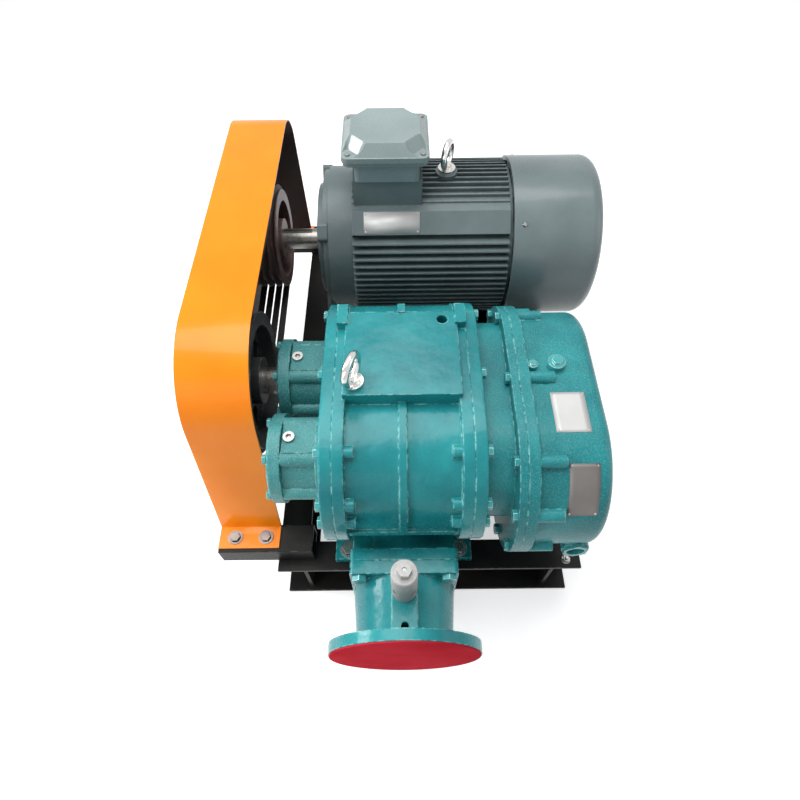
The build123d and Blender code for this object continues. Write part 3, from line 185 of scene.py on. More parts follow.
def blend_colour(tree, share, a, b):
    """A mix of two colours, the second one by the given share."""
    node = add_node(tree, "ShaderNodeMix", data_type="RGBA")
    for key, value in ((0, share), (6, a), (7, b)):
        if isinstance(value, bpy.types.NodeSocket):
            tree.links.new(value, node.inputs[key])
        else:
            node.inputs[key].default_value = value
    return node.outputs[2]


# Edge wear and painted edge highlights: finds the outer edges with a bevel, and breaks them up with noise.
# The first two values say how far the bevel's normal has to turn from the face.
EDGE_BEGINS = 0.995
EDGE_FULL = 0.86
PATCH_CONTRAST = 7.0
edge_wear_and_glint, start, end = new_group(
    "edge_wear_and_glint",
    (("Radius", "Float", 0.003), ("Patch Size", "Float", 90.0), ("Amount", "Float", 0.5),
     ("Vector", "Vector", None)),
    (("Mask", "Float"), ("Edge", "Float"), ("Rounded", "Vector")))
rounded = add_node(edge_wear_and_glint, "ShaderNodeBevel", {"Radius": start.outputs["Radius"]}, samples=6)
true_side = add_node(edge_wear_and_glint, "ShaderNodeNewGeometry")
turned = add_node(edge_wear_and_glint, "ShaderNodeVectorMath",
                  {0: rounded.outputs[0], 1: true_side.outputs["Normal"]}, operation="DOT_PRODUCT")
edge = span(edge_wear_and_glint, turned.outputs["Value"], EDGE_BEGINS, EDGE_FULL)
patches = add_node(edge_wear_and_glint, "ShaderNodeTexNoise", {"Vector": start.outputs["Vector"], "Detail": 3.0,
                                                     "Scale": start.outputs["Patch Size"]})
threshold = calc(edge_wear_and_glint, "SUBTRACT", 1.0, start.outputs["Amount"])
above = calc(edge_wear_and_glint, "SUBTRACT", patches.outputs[0], threshold)
broken = calc(edge_wear_and_glint, "MULTIPLY", above, PATCH_CONTRAST)
worn_and_glint = add_node(edge_wear_and_glint, "ShaderNodeMath", {0: edge, 1: broken}, operation="MULTIPLY", use_clamp=True)
for label, value in (("Mask", worn_and_glint.outputs[0]), ("Edge", edge), ("Rounded", rounded.outputs[0])):
    edge_wear_and_glint.links.new(value, end.inputs[label])

# Paint skin: the lumps of a casting or of thick paint, fine grain, and slow
# changes of tone. The range is the part of the noise that the tone uses.
TONE_SCALE = 9.0
TONE_RANGE = (0.35, 0.65)
paint_skin, start, end = new_group(
    "paint_skin",
    (("Vector", "Vector", None), ("Lump Scale", "Float", 60.0), ("Lump Height", "Float", 0.0004),
     ("Grain Scale", "Float", 400.0), ("Grain Height", "Float", 0.0001), ("Rounded", "Vector", None)),
    (("Normal", "Vector"), ("Tone", "Float"), ("Grain", "Float")))
lumps, grain, tone = [
    add_node(paint_skin, "ShaderNodeTexNoise", {"Vector": start.outputs["Vector"], "Detail": detail,
                                                "Scale": scale})
    for detail, scale in ((2.0, start.outputs["Lump Scale"]), (2.0, start.outputs["Grain Scale"]),
                          (3.0, TONE_SCALE))]
lump_height = calc(paint_skin, "MULTIPLY", lumps.outputs[0], start.outputs["Lump Height"])
grain_height = calc(paint_skin, "MULTIPLY", grain.outputs[0], start.outputs["Grain Height"])
height = calc(paint_skin, "ADD", lump_height, grain_height)
skin = add_node(paint_skin, "ShaderNodeBump", {"Height": height, "Distance": 1.0, "Strength": 1.0,
                                               "Normal": start.outputs["Rounded"]})
for label, value in (("Normal", skin.outputs[0]), ("Tone", span(paint_skin, tone.outputs[0], *TONE_RANGE)),
                     ("Grain", grain.outputs[0])):
    paint_skin.links.new(value, end.inputs[label])

GRAIN_RANGE = (0.3, 0.7)
ROUGHER_BY = 0.1
SMOOTHER_BY = 0.06


def painted(name, colour, second, worn_and_glint_colour, lumps=(60, 0.0004), grain=(400, 0.0001), wear_and_glint=0.45,
            edge=0.003, roughness=0.3, metal_wear=0.0, shine=0.5, coat=None):
    """Paint over a casting or sheet: two close tones, a skin, and a paler edge colour for wear, and in some
    finishes for a painted highlight.
    """
    material, tree, shader = new_material(name)
    place = add_node(tree, "ShaderNodeTexCoord").outputs["Object"]
    wear_and_glint_node = add_node(tree, "ShaderNodeGroup", {"Vector": place, "Radius": edge, "Amount": wear_and_glint},
                         node_tree=edge_wear_and_glint)
    skin_node = add_node(tree, "ShaderNodeGroup",
                         {"Vector": place, "Lump Scale": lumps[0], "Lump Height": lumps[1],
                          "Grain Scale": grain[0], "Grain Height": grain[1],
                          "Rounded": wear_and_glint_node.outputs["Rounded"]}, node_tree=paint_skin, name="skin")
    clean = blend_colour(tree, skin_node.outputs["Tone"], colour, second)
    # Edges take the paler colour: rubbed paint, and in some finishes a painted highlight.
    finish = blend_colour(tree, wear_and_glint_node.outputs["Mask"], clean, worn_and_glint_colour)
    tree.links.new(finish, shader.inputs["Base Color"])
    tree.links.new(skin_node.outputs["Normal"], shader.inputs["Normal"])
    rough = span(tree, skin_node.outputs["Grain"], *GRAIN_RANGE, roughness - SMOOTHER_BY,
                 roughness + ROUGHER_BY)
    tree.links.new(rough, shader.inputs["Roughness"])
    shader.inputs["Specular IOR Level"].default_value = shine
    if metal_wear:
        bare = calc(tree, "MULTIPLY", wear_and_glint_node.outputs["Mask"], metal_wear)
        tree.links.new(bare, shader.inputs["Metallic"])
    if coat:
        shader.inputs["Coat Weight"].default_value, shader.inputs["Coat Roughness"].default_value = coat
    return material


def finish_cad(material, *names):
    """Gives CAD nodes their material."""
    for name in names:
        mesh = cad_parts[name].data
        mesh.materials.clear()
        mesh.materials.append(material)


black_paint = painted("black_enamel", BLACK_ENAMEL, DUSTY_BLACK, BARE_EDGE, lumps=(35, 0.0006),
                      grain=(300, 0.0001), wear_and_glint=0.48, roughness=0.40, metal_wear=0.5, shine=0.15)
finish_cad(black_paint, *BASE_PIECES)

# Weld beads: short runs of arc weld where the base's stiffeners, beams and
# brackets are joined, painted over with the base.
WELD_STEP = 0.0042
WELD_SIZE = 0.0042
BEAD_SIZES = (0.8, 1.15)
BASE_HALF = 0.329
BASE_TOP = 0.160
TOP_BEAD_Z = BASE_TOP + 0.001
WALL = 0.008
STIFFENER_X = (-0.275, 0.275)
STIFFENER_Y = -0.4655
STIFFENER_Z = (0.012, 0.148)
HALF_WALL = 0.004
BEAM_Y = (-0.465, -0.150, 0.065, 0.349, 0.5245)
BEAM_Z = (0.015, 0.146)
BRACKET_X = (-0.327, -0.252)
BRACKET_Y = (-0.446, 0.468)
STAND_X = (-0.159, -0.099, 0.082, 0.142)
STAND_Y = (0.070, 0.344)
STAND_RUN = 0.03
weld_runs = []
for x in STIFFENER_X:
    for side in (-1, 1):
        weld_runs.append([(x + side * HALF_WALL, STIFFENER_Y, z) for z in STIFFENER_Z])
for y in BEAM_Y:
    for side in (-1, 1):
        weld_runs.append([(side * (BASE_HALF - WALL), y, z) for z in BEAM_Z])
for y in BRACKET_Y:
    weld_runs.append([(x, y, TOP_BEAD_Z) for x in BRACKET_X])
for x in STAND_X:
    for y in STAND_Y:
        weld_runs.append([(x, y + run, TOP_BEAD_Z) for run in (-STAND_RUN, STAND_RUN)])


def new_tree(name, inputs):
    """A Geometry Nodes tree that takes and gives a mesh: the tree, its inputs, and where its result goes."""
    tree = bpy.data.node_groups.new(name, "GeometryNodeTree")
    tree.interface.new_socket("Geometry", in_out="INPUT", socket_type="NodeSocketGeometry")
    for label, kind, value in inputs:
        socket = tree.interface.new_socket(label, in_out="INPUT", socket_type="NodeSocket" + kind)
        if value is not None:
            socket.default_value = value
    tree.interface.new_socket("Geometry", in_out="OUTPUT", socket_type="NodeSocketGeometry")
    return tree, tree.nodes.new("NodeGroupInput"), tree.nodes.new("NodeGroupOutput")


def finish_tree(tree, start, end, instances):
    """Makes instances real and gives them the tree's material."""
    real = add_node(tree, "GeometryNodeRealizeInstances", {0: instances})
    dressed = add_node(tree, "GeometryNodeSetMaterial", {"Geometry": real.outputs[0],
                                                         "Material": start.outputs["Material"]})
    tree.links.new(dressed.outputs[0], end.inputs[0])


def grown(name, mesh, tree, values, body="frame", smooth=35):
    """The plain mesh that a tree makes from a mesh of points or lines, riding on its body."""
    seed = bpy.data.objects.new(name + "_seed", mesh)
    scene.collection.objects.link(seed)
    growth = seed.modifiers.new("growth", "NODES")
    growth.node_group = tree
    for item in tree.interface.items_tree:
        if item.in_out == "INPUT" and item.name in values:
            growth[item.identifier] = values[item.name]
    evaluated = seed.evaluated_get(bpy.context.evaluated_depsgraph_get())
    result = bpy.data.meshes.new_from_object(evaluated)
    seed.modifiers.remove(growth)
    bpy.data.objects.remove(seed)
    result.name = name
    piece = bpy.data.objects.new(name, result)
    scene.collection.objects.link(piece)
    result.shade_smooth()
    result.set_sharp_from_angle(angle=radians(smooth))
    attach(piece, body)
    return piece


weld_tree, start, end = new_tree("weld_bead", (("Step", "Float", 0.004), ("Size", "Float", 0.004),
                                               ("Seed", "Int", 3), ("Material", "Material", None)))
line = add_node(weld_tree, "GeometryNodeMeshToCurve", {0: start.outputs["Geometry"]})
beads = add_node(weld_tree, "GeometryNodeResampleCurve",
                 {"Curve": line.outputs[0], "Length": start.outputs["Step"]}, mode="LENGTH")
bead = add_node(weld_tree, "GeometryNodeMeshIcoSphere", {"Radius": start.outputs["Size"],
                                                         "Subdivisions": 2})
sizes = add_node(weld_tree, "FunctionNodeRandomValue",
                 {2: BEAD_SIZES[0], 3: BEAD_SIZES[1], "Seed": start.outputs["Seed"]}, data_type="FLOAT")
placed = add_node(weld_tree, "GeometryNodeInstanceOnPoints",
                  {"Points": beads.outputs[0], "Instance": bead.outputs[0], "Scale": sizes.outputs[1]})
finish_tree(weld_tree, start, end, placed.outputs[0])
weld_mesh = bpy.data.meshes.new("weld_lines")
weld_mesh.from_pydata([end_point for run in weld_runs for end_point in run],
                      [(2 * i, 2 * i + 1) for i in range(len(weld_runs))], [])
grown("base_welds", weld_mesh, weld_tree,
      {"Step": WELD_STEP, "Size": WELD_SIZE, "Seed": 3, "Material": black_paint},
      smooth=60)

# Pump castings: grey iron from sand moulds, machined where they meet, filled and sprayed with glossy teal
# enamel that pulls thin on the edges, and the pale edge colour is also a painted highlight. The carrier, the
# gear cover and the bearing housings keep more of the sand's grain, with pale points that are also painted
# glints.
SMOOTH_CASTINGS = ("drive_end_plate", "gear_end_plate")
SANDY_CASTINGS = ("bearing_carrier", "gear_cover")
GREYER_CASTINGS = ("driven_bearing_housing", "drive_bearing_housing", "driven_bearing_cap",
                  "drive_bearing_cap")
PAINTED_BOLTS = ("end_plate_bolts", "bearing_cap_bolts", "gear_cover_bolts", "neck_bolts",
                 "oil_filler_plugs")
TEAL = (0.006, 0.185, 0.205, 1)
LIGHT_TEAL = (0.018, 0.285, 0.300, 1)
# The bearing housings and their caps get a paler, greyer teal than the other castings.
GREYER_TEAL = (0.030, 0.200, 0.208, 1)
LIGHT_GREYER_TEAL = (0.062, 0.290, 0.292, 1)
RUBBED_AND_GLINTING_TEAL = (0.30, 0.70, 0.67, 1)
PALE_TEAL = (0.060, 0.380, 0.385, 1)
RUBBED_BOLT = (0.60, 0.72, 0.70, 1)
SAND_AND_GLINT_GREY = (0.34, 0.50, 0.46, 1)
SAND_AND_GLINT_RANGE = (0.52, 0.74)


def shader_of(material):
    """The shader that a material's colour and gloss go into."""
    return material.node_tree.nodes["Principled BSDF"]


# The rubbed edge colour is worn enamel and also a painted highlight along the edges.
smooth_teal = painted("teal_enamel", TEAL, LIGHT_TEAL, RUBBED_AND_GLINTING_TEAL, lumps=(30, 0.0018),
                      grain=(190, 0.00018), wear_and_glint=0.56, edge=0.004, roughness=0.24, shine=0.22,
                      coat=(0.12, 0.08))
finish_cad(smooth_teal, *SMOOTH_CASTINGS)
for name, colour, second, sand_and_glint_share, castings in (
        ("sandy_teal_enamel", TEAL, LIGHT_TEAL, 0.34, SANDY_CASTINGS),
        ("greyer_teal_enamel", GREYER_TEAL, LIGHT_GREYER_TEAL, 0.55, GREYER_CASTINGS)):
    rough_teal = painted(name, colour, second, RUBBED_AND_GLINTING_TEAL, lumps=(55, 0.0010), grain=(440, 0.0008),
                         wear_and_glint=0.54, edge=0.004, roughness=0.30, shine=0.22, coat=(0.08, 0.12))
    tree = rough_teal.node_tree
    colour_input = shader_of(rough_teal).inputs["Base Color"]
    # Pale points where the grain is high: the sand's grain, and painted glints on the rough paint.
    sand_and_glint_points = span(tree, tree.nodes["skin"].outputs["Grain"], *SAND_AND_GLINT_RANGE, 0.0, sand_and_glint_share)
    under_grain = colour_input.links[0].from_socket
    tree.links.new(blend_colour(tree, sand_and_glint_points, under_grain, SAND_AND_GLINT_GREY), colour_input)
    finish_cad(rough_teal, *castings)
bolt_teal = painted("painted_bolt_steel", LIGHT_TEAL, PALE_TEAL, RUBBED_BOLT, lumps=(120, 0.0003),
                    grain=(600, 0.0001), wear_and_glint=0.7, edge=0.0018, roughness=0.28, metal_wear=0.6,
                    shine=0.35)
finish_cad(bolt_teal, *PAINTED_BOLTS)

# Casing and suction neck: the same enamel, with paint knocked off down to black
# primer on the sides of their square flange, while the neck was fitted.
CASING_MIDDLE_X = -0.056
FLANGE_SIDE = (0.094, 0.099)
NECK_JOINT_Y = -0.572
OFF_JOINT = (0.018, 0.030)
FLANGE_TOP = (0.372, 0.366)
CHIP_SPOTS = (0.57, 0.60)
CHIPPED_BLACK = (0.012, 0.016, 0.016, 1)
chipped = smooth_teal.copy()
chipped.name = "chipped_teal_enamel"
tree = chipped.node_tree
place = add_node(tree, "ShaderNodeTexCoord").outputs["Object"]
axes = add_node(tree, "ShaderNodeSeparateXYZ", {0: place})
off_middle = calc(tree, "ABSOLUTE", calc(tree, "ADD", axes.outputs["X"], -CASING_MIDDLE_X))
at_side = span(tree, off_middle, *FLANGE_SIDE)
off_joint = calc(tree, "ABSOLUTE", calc(tree, "ADD", axes.outputs["Y"], -NECK_JOINT_Y))
near_joint = calc(tree, "SUBTRACT", 1.0, span(tree, off_joint, *OFF_JOINT))
below_casing = span(tree, axes.outputs["Z"], *FLANGE_TOP)
scabs = add_node(tree, "ShaderNodeTexNoise", {"Vector": place, "Scale": 85.0, "Detail": 4.0,
                                              "Roughness": 0.6})
spots = span(tree, scabs.outputs[0], *CHIP_SPOTS)
beside = calc(tree, "MULTIPLY", calc(tree, "MULTIPLY", at_side, near_joint), below_casing)
missing = calc(tree, "MULTIPLY", beside, spots)
colour_input = shader_of(chipped).inputs["Base Color"]
painted_colour = colour_input.links[0].from_socket
tree.links.new(blend_colour(tree, missing, painted_colour, CHIPPED_BLACK), colour_input)
finish_cad(chipped, "pump_casing", "suction_neck")

# Plugs, foot bolts and lid screws: zinc-plated steel, put in after the paint.
# The guard's bolts are plain dark steel.
PLATED = (0.46, 0.46, 0.44, 1)
DULL_ZINC = (0.28, 0.28, 0.27, 1)
DARK_STEEL = (0.22, 0.20, 0.19, 1)
OILED_BLACK = (0.10, 0.09, 0.08, 1)
RUBBED_AND_GLINT_SHARE = 1.4


def metal(name, colour, second, roughness, scratches=(420, 0.00006), metallic=1.0):
    """Bare or plated metal: two tones, fine scratches, and rounded edges painted brighter, as rubbed metal
    and as a painted glint.
    """
    # The edges are painted brighter: rubbed metal, and a painted glint.
    rubbed_and_glint_colour = tuple(min(1, c * RUBBED_AND_GLINT_SHARE) for c in colour[:3]) + (1,)
    material = painted(name, colour, second, rubbed_and_glint_colour, lumps=(70, 0.0001), grain=scratches, wear_and_glint=0.5,
                       edge=0.0008, roughness=roughness)
    shader_of(material).inputs["Metallic"].default_value = metallic
    return material


zinc = metal("zinc_plate", PLATED, DULL_ZINC, 0.30)
dark_steel = metal("dark_bolt_steel", DARK_STEEL, OILED_BLACK, 0.34)
finish_cad(dark_steel, "guard_bolts")
finish_cad(zinc, "housing_plugs", "pump_foot_bolts", "motor_foot_bolts", "terminal_lid_screws")

# Lifting eyebolts: drop-forged and chromed, one screwed into the pump's pad
# and one into the motor.
CHROME = (0.80, 0.79, 0.77, 1)
DULL_CHROME = (0.62, 0.61, 0.60, 1)
finish_cad(metal("eyebolt_chrome", CHROME, DULL_CHROME, 0.16, scratches=(160, 0.0002)), "lifting_eyebolts")

# Gear case plates: bare stamped aluminium, bent over the cover's curve and
# held by a drive rivet at each corner. The lower one has gone dull.
CASE_AXIS_Y = -0.403
CASE_AXIS_Z = 0.410
CASE_RADIUS = 0.152
PLATE_THICKNESS = 0.0006
PLATE_GAP = 0.0001
RIVET_RADIUS = 0.0022
ALUMINIUM = (0.54, 0.54, 0.53, 1)
GREY_ALUMINIUM = (0.46, 0.46, 0.45, 1)
DULL_ALUMINIUM = (0.20, 0.19, 0.18, 1)
DARK_ALUMINIUM = (0.14, 0.13, 0.13, 1)
plate_metal = metal("bare_aluminium", ALUMINIUM, GREY_ALUMINIUM, 0.5, scratches=(900, 0.00003),
                    metallic=0.35)
dull_plate_metal = metal("dull_aluminium", DULL_ALUMINIUM, DARK_ALUMINIUM, 0.55,
                         scratches=(900, 0.00003))
rivet_points = []


def case_point(x, run):
    """A point on the gear cover, a run forward from the top of its front curve, and the way out there."""
    if run < 0:
        return Vector((x, CASE_AXIS_Y - run, CASE_AXIS_Z + CASE_RADIUS)), Vector((0, 0, 1))
    turn = run / CASE_RADIUS
    out = Vector((0, -sin(turn), cos(turn)))
    return Vector((x, CASE_AXIS_Y, CASE_AXIS_Z)) + out * CASE_RADIUS, out


def thin_plate(name, surface, across, along, material, columns=6, rows=14,
               inset=0.004):
    """A thin sheet on a surface, between two ranges of its place there, with rivets in its corners."""
    mesh = bpy.data.meshes.new(name)
    points = []
    for row in range(rows + 1):
        for column in range(columns + 1):
            place, out = surface(across[0] + (across[1] - across[0]) * column / columns,
                                 along[0] + (along[1] - along[0]) * row / rows)
            points.append(place + out * PLATE_GAP)
    wide = columns + 1
    faces = [(i + j * wide, i + (j + 1) * wide, i + 1 + (j + 1) * wide, i + 1 + j * wide)
             for j in range(rows) for i in range(columns)]
    mesh.from_pydata(points, [], faces)
    mesh.materials.append(material)
    for face in mesh.polygons:
        face.use_smooth = True
    piece = bpy.data.objects.new(name, mesh)
    scene.collection.objects.link(piece)
    out = surface(sum(across) / 2, sum(along) / 2)[1]
    if mesh.polygons[len(mesh.polygons) // 2].normal.dot(out) < 0:
        mesh.flip_normals()
    wall = piece.modifiers.new("wall", "SOLIDIFY")
    wall.thickness = PLATE_THICKNESS
    wall.offset = 1
    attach(piece, "frame")
    for x in (across[0] + inset, across[1] - inset):
        for run in (along[0] + inset, along[1] - inset):
            place, out = surface(x, run)
            rivet_points.append((place + out * PLATE_THICKNESS, out))


thin_plate("gear_case_plate", case_point, (0.204, 0.264), (-0.059, 0.022), plate_metal)
thin_plate("gear_case_lower_plate", case_point, (0.221, 0.273), (0.075, 0.170), dull_plate_metal)

# Suction port cover: a plain disc of red board that closes the flange until
# the pipe is fitted.
COVER_PLACE = (-0.056, -0.720, 0.253)
COVER_RADIUS = 0.1405
COVER_BACK = 0.00005
COVER_THICKNESS = 0.0029
COVER_CROWN = 0.0001
COVER_ROUND = 0.0012
COVER_STEPS = 96
RED_BOARD = (0.56, 0.018, 0.034, 1)
FADED_RED = (0.64, 0.030, 0.050, 1)
RUBBED_RED = (0.60, 0.12, 0.12, 1)


def turned_piece(name, profile, centre, axis, steps, material, body="frame", smooth=35):
    """A closed turned shape: its profile is (radius, height) pairs, from the axis out and back to it."""
    shape = bmesh.new()
    turn = Vector(axis).to_track_quat("Z", "Y")
    rings = []
    for radius, height in profile:
        ring = []
        for i in range(steps if radius else 1):
            angle = 2 * pi * i / steps
            point = Vector((radius * cos(angle), radius * sin(angle), height))
            ring.append(shape.verts.new(Vector(centre) + turn @ point))
        rings.append(ring)
    for low, high in zip(rings, rings[1:]):
        for i in range(steps):
            j = (i + 1) % steps
            if len(low) == 1:
                shape.faces.new((low[0], high[i], high[j]))
            elif len(high) == 1:
                shape.faces.new((low[i], high[0], low[j]))
            else:
                shape.faces.new((low[i], high[i], high[j], low[j]))
    bmesh.ops.recalc_face_normals(shape, faces=shape.faces)
    mesh = bpy.data.meshes.new(name)
    shape.to_mesh(mesh)
    shape.free()
    mesh.materials.append(material)
    mesh.shade_smooth()
    mesh.set_sharp_from_angle(angle=radians(smooth))
    piece = bpy.data.objects.new(name, mesh)
    scene.collection.objects.link(piece)
    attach(piece, body)
    return piece


red_board = painted("red_board", RED_BOARD, FADED_RED, RUBBED_RED, lumps=(14, 0.0008),
                    grain=(700, 0.00003), wear_and_glint=0.3, edge=0.001, roughness=0.8, shine=0.02)
corner = COVER_ROUND * 0.3
cover_profile = [(0, COVER_BACK), (COVER_RADIUS, COVER_BACK), (COVER_RADIUS, COVER_THICKNESS - COVER_ROUND),
                 (COVER_RADIUS - corner, COVER_THICKNESS - corner),
                 (COVER_RADIUS - COVER_ROUND, COVER_THICKNESS),
                 (COVER_RADIUS * 0.5, COVER_THICKNESS + COVER_CROWN), (0, COVER_THICKNESS)]
cover_disc = turned_piece("red_port_disc", cover_profile, COVER_PLACE, (0, -1, 0), COVER_STEPS, red_board)
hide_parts("suction_port_cover")

# Relief valve: a turned steel body with its vents, and a hexagon cap that
# holds the spring down on the poppet.
VALVE_STEEL = (0.42, 0.42, 0.41, 1)
DULL_VALVE_STEEL = (0.34, 0.34, 0.33, 1)
SPRING_STEEL = (0.30, 0.30, 0.29, 1)
DULL_SPRING_STEEL = (0.22, 0.22, 0.22, 1)
valve_metal = metal("turned_valve_steel", VALVE_STEEL, DULL_VALVE_STEEL, 0.58, scratches=(260, 0.00025),
                    metallic=0.4)
finish_cad(valve_metal, "relief_valve_body", "relief_valve_cap")
spring_metal = metal("spring_and_poppet_steel", SPRING_STEEL, DULL_SPRING_STEEL, 0.45)
finish_cad(spring_metal, "relief_poppet")

# Earth stud: a washer, a nut and the end of a welded stud on the front flange
# of the base, by its right end.
EARTH_PLACE = (0.298, -0.512, BASE_TOP)
WASHER_TOP = 0.0018
NUT_TOP = 0.0090
STUD_TOP = 0.0150
for name, radius, low, high, sides in (("earth_washer", 0.0100, 0, WASHER_TOP, 32),
                                       ("earth_nut", 0.0085, WASHER_TOP, NUT_TOP, 6),
                                       ("earth_stud", 0.0040, NUT_TOP, STUD_TOP, 24)):
    bevel = 0.12 * radius
    turned_piece(name, [(0, low), (radius, low), (radius, high - bevel), (radius - bevel, high), (0, high)],
                 EARTH_PLACE, (0, 0, 1), sides, zinc)

# Sight glass: a hexagon ring, painted with the pump, screwed down on a disc of
# clear glass, low on the gear case, where the oil level shows.
LEVEL_GLASS = (0.85, 0.90, 0.86, 1)
finish_cad(bolt_teal, "sight_glass_ring")
lens_glass, tree, shader = new_material("level_glass")
shader.inputs["Base Color"].default_value = LEVEL_GLASS
shader.inputs["Transmission Weight"].default_value = 0.92
place = add_node(tree, "ShaderNodeTexCoord").outputs["Object"]
smears = add_node(tree, "ShaderNodeTexNoise", {"Vector": place, "Scale": 120.0, "Detail": 2.0})
film = span(tree, smears.outputs[0], 0.4, 0.7, to_low=0.02, to_high=0.14)
tree.links.new(film, shader.inputs["Roughness"])
finish_cad(lens_glass, "sight_glass_lens")

# Rotors, shafts, gears and bearings: ground and machined steel with a film of
# oil, seen only when the pump is taken apart, and the shafts' bare ends.
OILED_STEEL = (0.34, 0.33, 0.31, 1)
DARK_OILED_STEEL = (0.24, 0.23, 0.21, 1)
LOBE_IRON = (0.30, 0.30, 0.30, 1)
DARK_LOBE_IRON = (0.22, 0.22, 0.22, 1)
CORE_STEEL = (0.26, 0.25, 0.24, 1)
DARK_CORE_STEEL = (0.18, 0.18, 0.17, 1)
oiled_steel = metal("oiled_steel", OILED_STEEL, DARK_OILED_STEEL, 0.30, scratches=(500, 0.00008))
finish_cad(oiled_steel, "driven_shaft", "drive_shaft", "driven_timing_gear", "drive_timing_gear",
           "motor_rotor", "pump_bearings", "motor_bearings")
lobe_iron = metal("machined_lobe_iron", LOBE_IRON, DARK_LOBE_IRON, 0.36, scratches=(300, 0.0001))
finish_cad(lobe_iron, "driven_rotor", "drive_rotor")
core_steel = metal("laminated_core_steel", CORE_STEEL, DARK_CORE_STEEL, 0.45, scratches=(900, 0.0002))
finish_cad(core_steel, "motor_stator")

# Belt drive: cast pulleys, the motor's still in red primer, and four wrapped
# wedge belts, rubbed paler along their edges.
PRIMER_RED = (0.200, 0.115, 0.108, 1)
DARK_PRIMER = (0.150, 0.080, 0.074, 1)
RUBBED_PRIMER = (0.34, 0.28, 0.26, 1)
PULLEY_IRON = (0.045, 0.047, 0.048, 1)
LIGHT_PULLEY_IRON = (0.08, 0.082, 0.083, 1)
RUBBED_IRON = (0.36, 0.36, 0.35, 1)
BELT_BLACK = (0.018, 0.018, 0.019, 1)
DUSTY_BELT = (0.032, 0.032, 0.033, 1)
RUBBED_BELT = (0.20, 0.20, 0.20, 1)
primer = painted("pulley_primer", PRIMER_RED, DARK_PRIMER, RUBBED_PRIMER, lumps=(50, 0.0005),
                 grain=(320, 0.0003), wear_and_glint=0.5, roughness=0.4, metal_wear=0.7)
finish_cad(primer, "motor_pulley")
pulley_iron = painted("pulley_iron", PULLEY_IRON, LIGHT_PULLEY_IRON, RUBBED_IRON, lumps=(50, 0.0004),
                      grain=(320, 0.0002), wear_and_glint=0.5, roughness=0.34, metal_wear=0.8)
finish_cad(pulley_iron, "pump_pulley")
belt_cloth = painted("wrapped_belt_cloth", BELT_BLACK, DUSTY_BELT, RUBBED_BELT, lumps=(80, 0.0001),
                     grain=(900, 0.0002), wear_and_glint=0.5, edge=0.0012, roughness=0.62)
finish_cad(belt_cloth, "drive_belts")

# Belt guard: one 3 mm sheet bent over the drive and closed on its outer side, powder-coated orange outside,
# dark inside, that dark colour partly painted shade, on two feet.
ORANGE = (0.97, 0.245, 0.004, 1)
LIGHT_ORANGE = (1.00, 0.275, 0.006, 1)
RUBBED_ORANGE = (0.95, 0.55, 0.25, 1)
GUARD_INSIDE_PAINT_AND_SHADE = (0.052, 0.018, 0.012, 1)
DARKER_GUARD_INSIDE_PAINT_AND_SHADE = (0.03, 0.018, 0.016, 1)
RUBBED_GUARD_DARK = (0.08, 0.05, 0.04, 1)
GUARD_MIDDLE = Vector((0, 0.02, 0.38))
GUARD_SHEET = 0.003
GUARD_EDGE = 0.0009
FOOT_TOP = 0.2155
MERGE_WITHIN = 0.00002
SAME_PLANE = 0.0005


def merged_copy(node, piece_name):
    """A copy of a CAD node with its loose triangles joined and its flat faces made whole."""
    shape = bmesh.new()
    shape.from_mesh(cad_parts[node].data)
    bmesh.ops.remove_doubles(shape, verts=shape.verts, dist=MERGE_WITHIN)
    bmesh.ops.dissolve_limit(shape, angle_limit=radians(0.5), verts=shape.verts, edges=shape.edges,
                             delimit={"NORMAL"})
    bmesh.ops.recalc_face_normals(shape, faces=shape.faces)
    mesh = bpy.data.meshes.new(piece_name)
    shape.to_mesh(mesh)
    shape.free()
    piece = bpy.data.objects.new(piece_name, mesh)
    scene.collection.objects.link(piece)
    return piece


orange = painted("orange_powder_coat", ORANGE, LIGHT_ORANGE, RUBBED_ORANGE, lumps=(22, 0.0002),
                 grain=(900, 0.00002), wear_and_glint=0.42, edge=0.0012, roughness=0.24, shine=0.2,
                 coat=(0.15, 0.06))
# The inside colour is dark paint and also the painted shade inside the hood.
guard_inside_paint_and_shade = painted("guard_inner_paint_and_shade", GUARD_INSIDE_PAINT_AND_SHADE, DARKER_GUARD_INSIDE_PAINT_AND_SHADE, RUBBED_GUARD_DARK,
                     lumps=(60, 0.0003), wear_and_glint=0.4, edge=0.001, roughness=0.5, shine=0.35)
hood = merged_copy("belt_guard", "belt_guard_hood")
outer_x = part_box("belt_guard")[0].x
hood.data.materials.append(orange)
hood.data.materials.append(guard_inside_paint_and_shade)
# Faces that look into the hood take the dark inside colour, which is partly painted shade.
for face in hood.data.polygons:
    facing_in = face.normal.dot(GUARD_MIDDLE - Vector((0, face.center.y, face.center.z))) > 0
    on_strip = abs(face.normal.x) < 0.5 and facing_in and face.center.z > FOOT_TOP
    behind_side = face.normal.x > 0.9 and abs(face.center.x - outer_x - GUARD_SHEET) < SAME_PLANE
    face.material_index = 1 if on_strip or behind_side else 0
hood.data.shade_smooth()
hood.data.set_sharp_from_angle(angle=radians(30))
softened = hood.modifiers.new("pressed_edges", "BEVEL")
softened.width = GUARD_EDGE
softened.segments = 2
softened.limit_method = "ANGLE"
softened.angle_limit = radians(40)
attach(hood, "frame")
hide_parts("belt_guard")

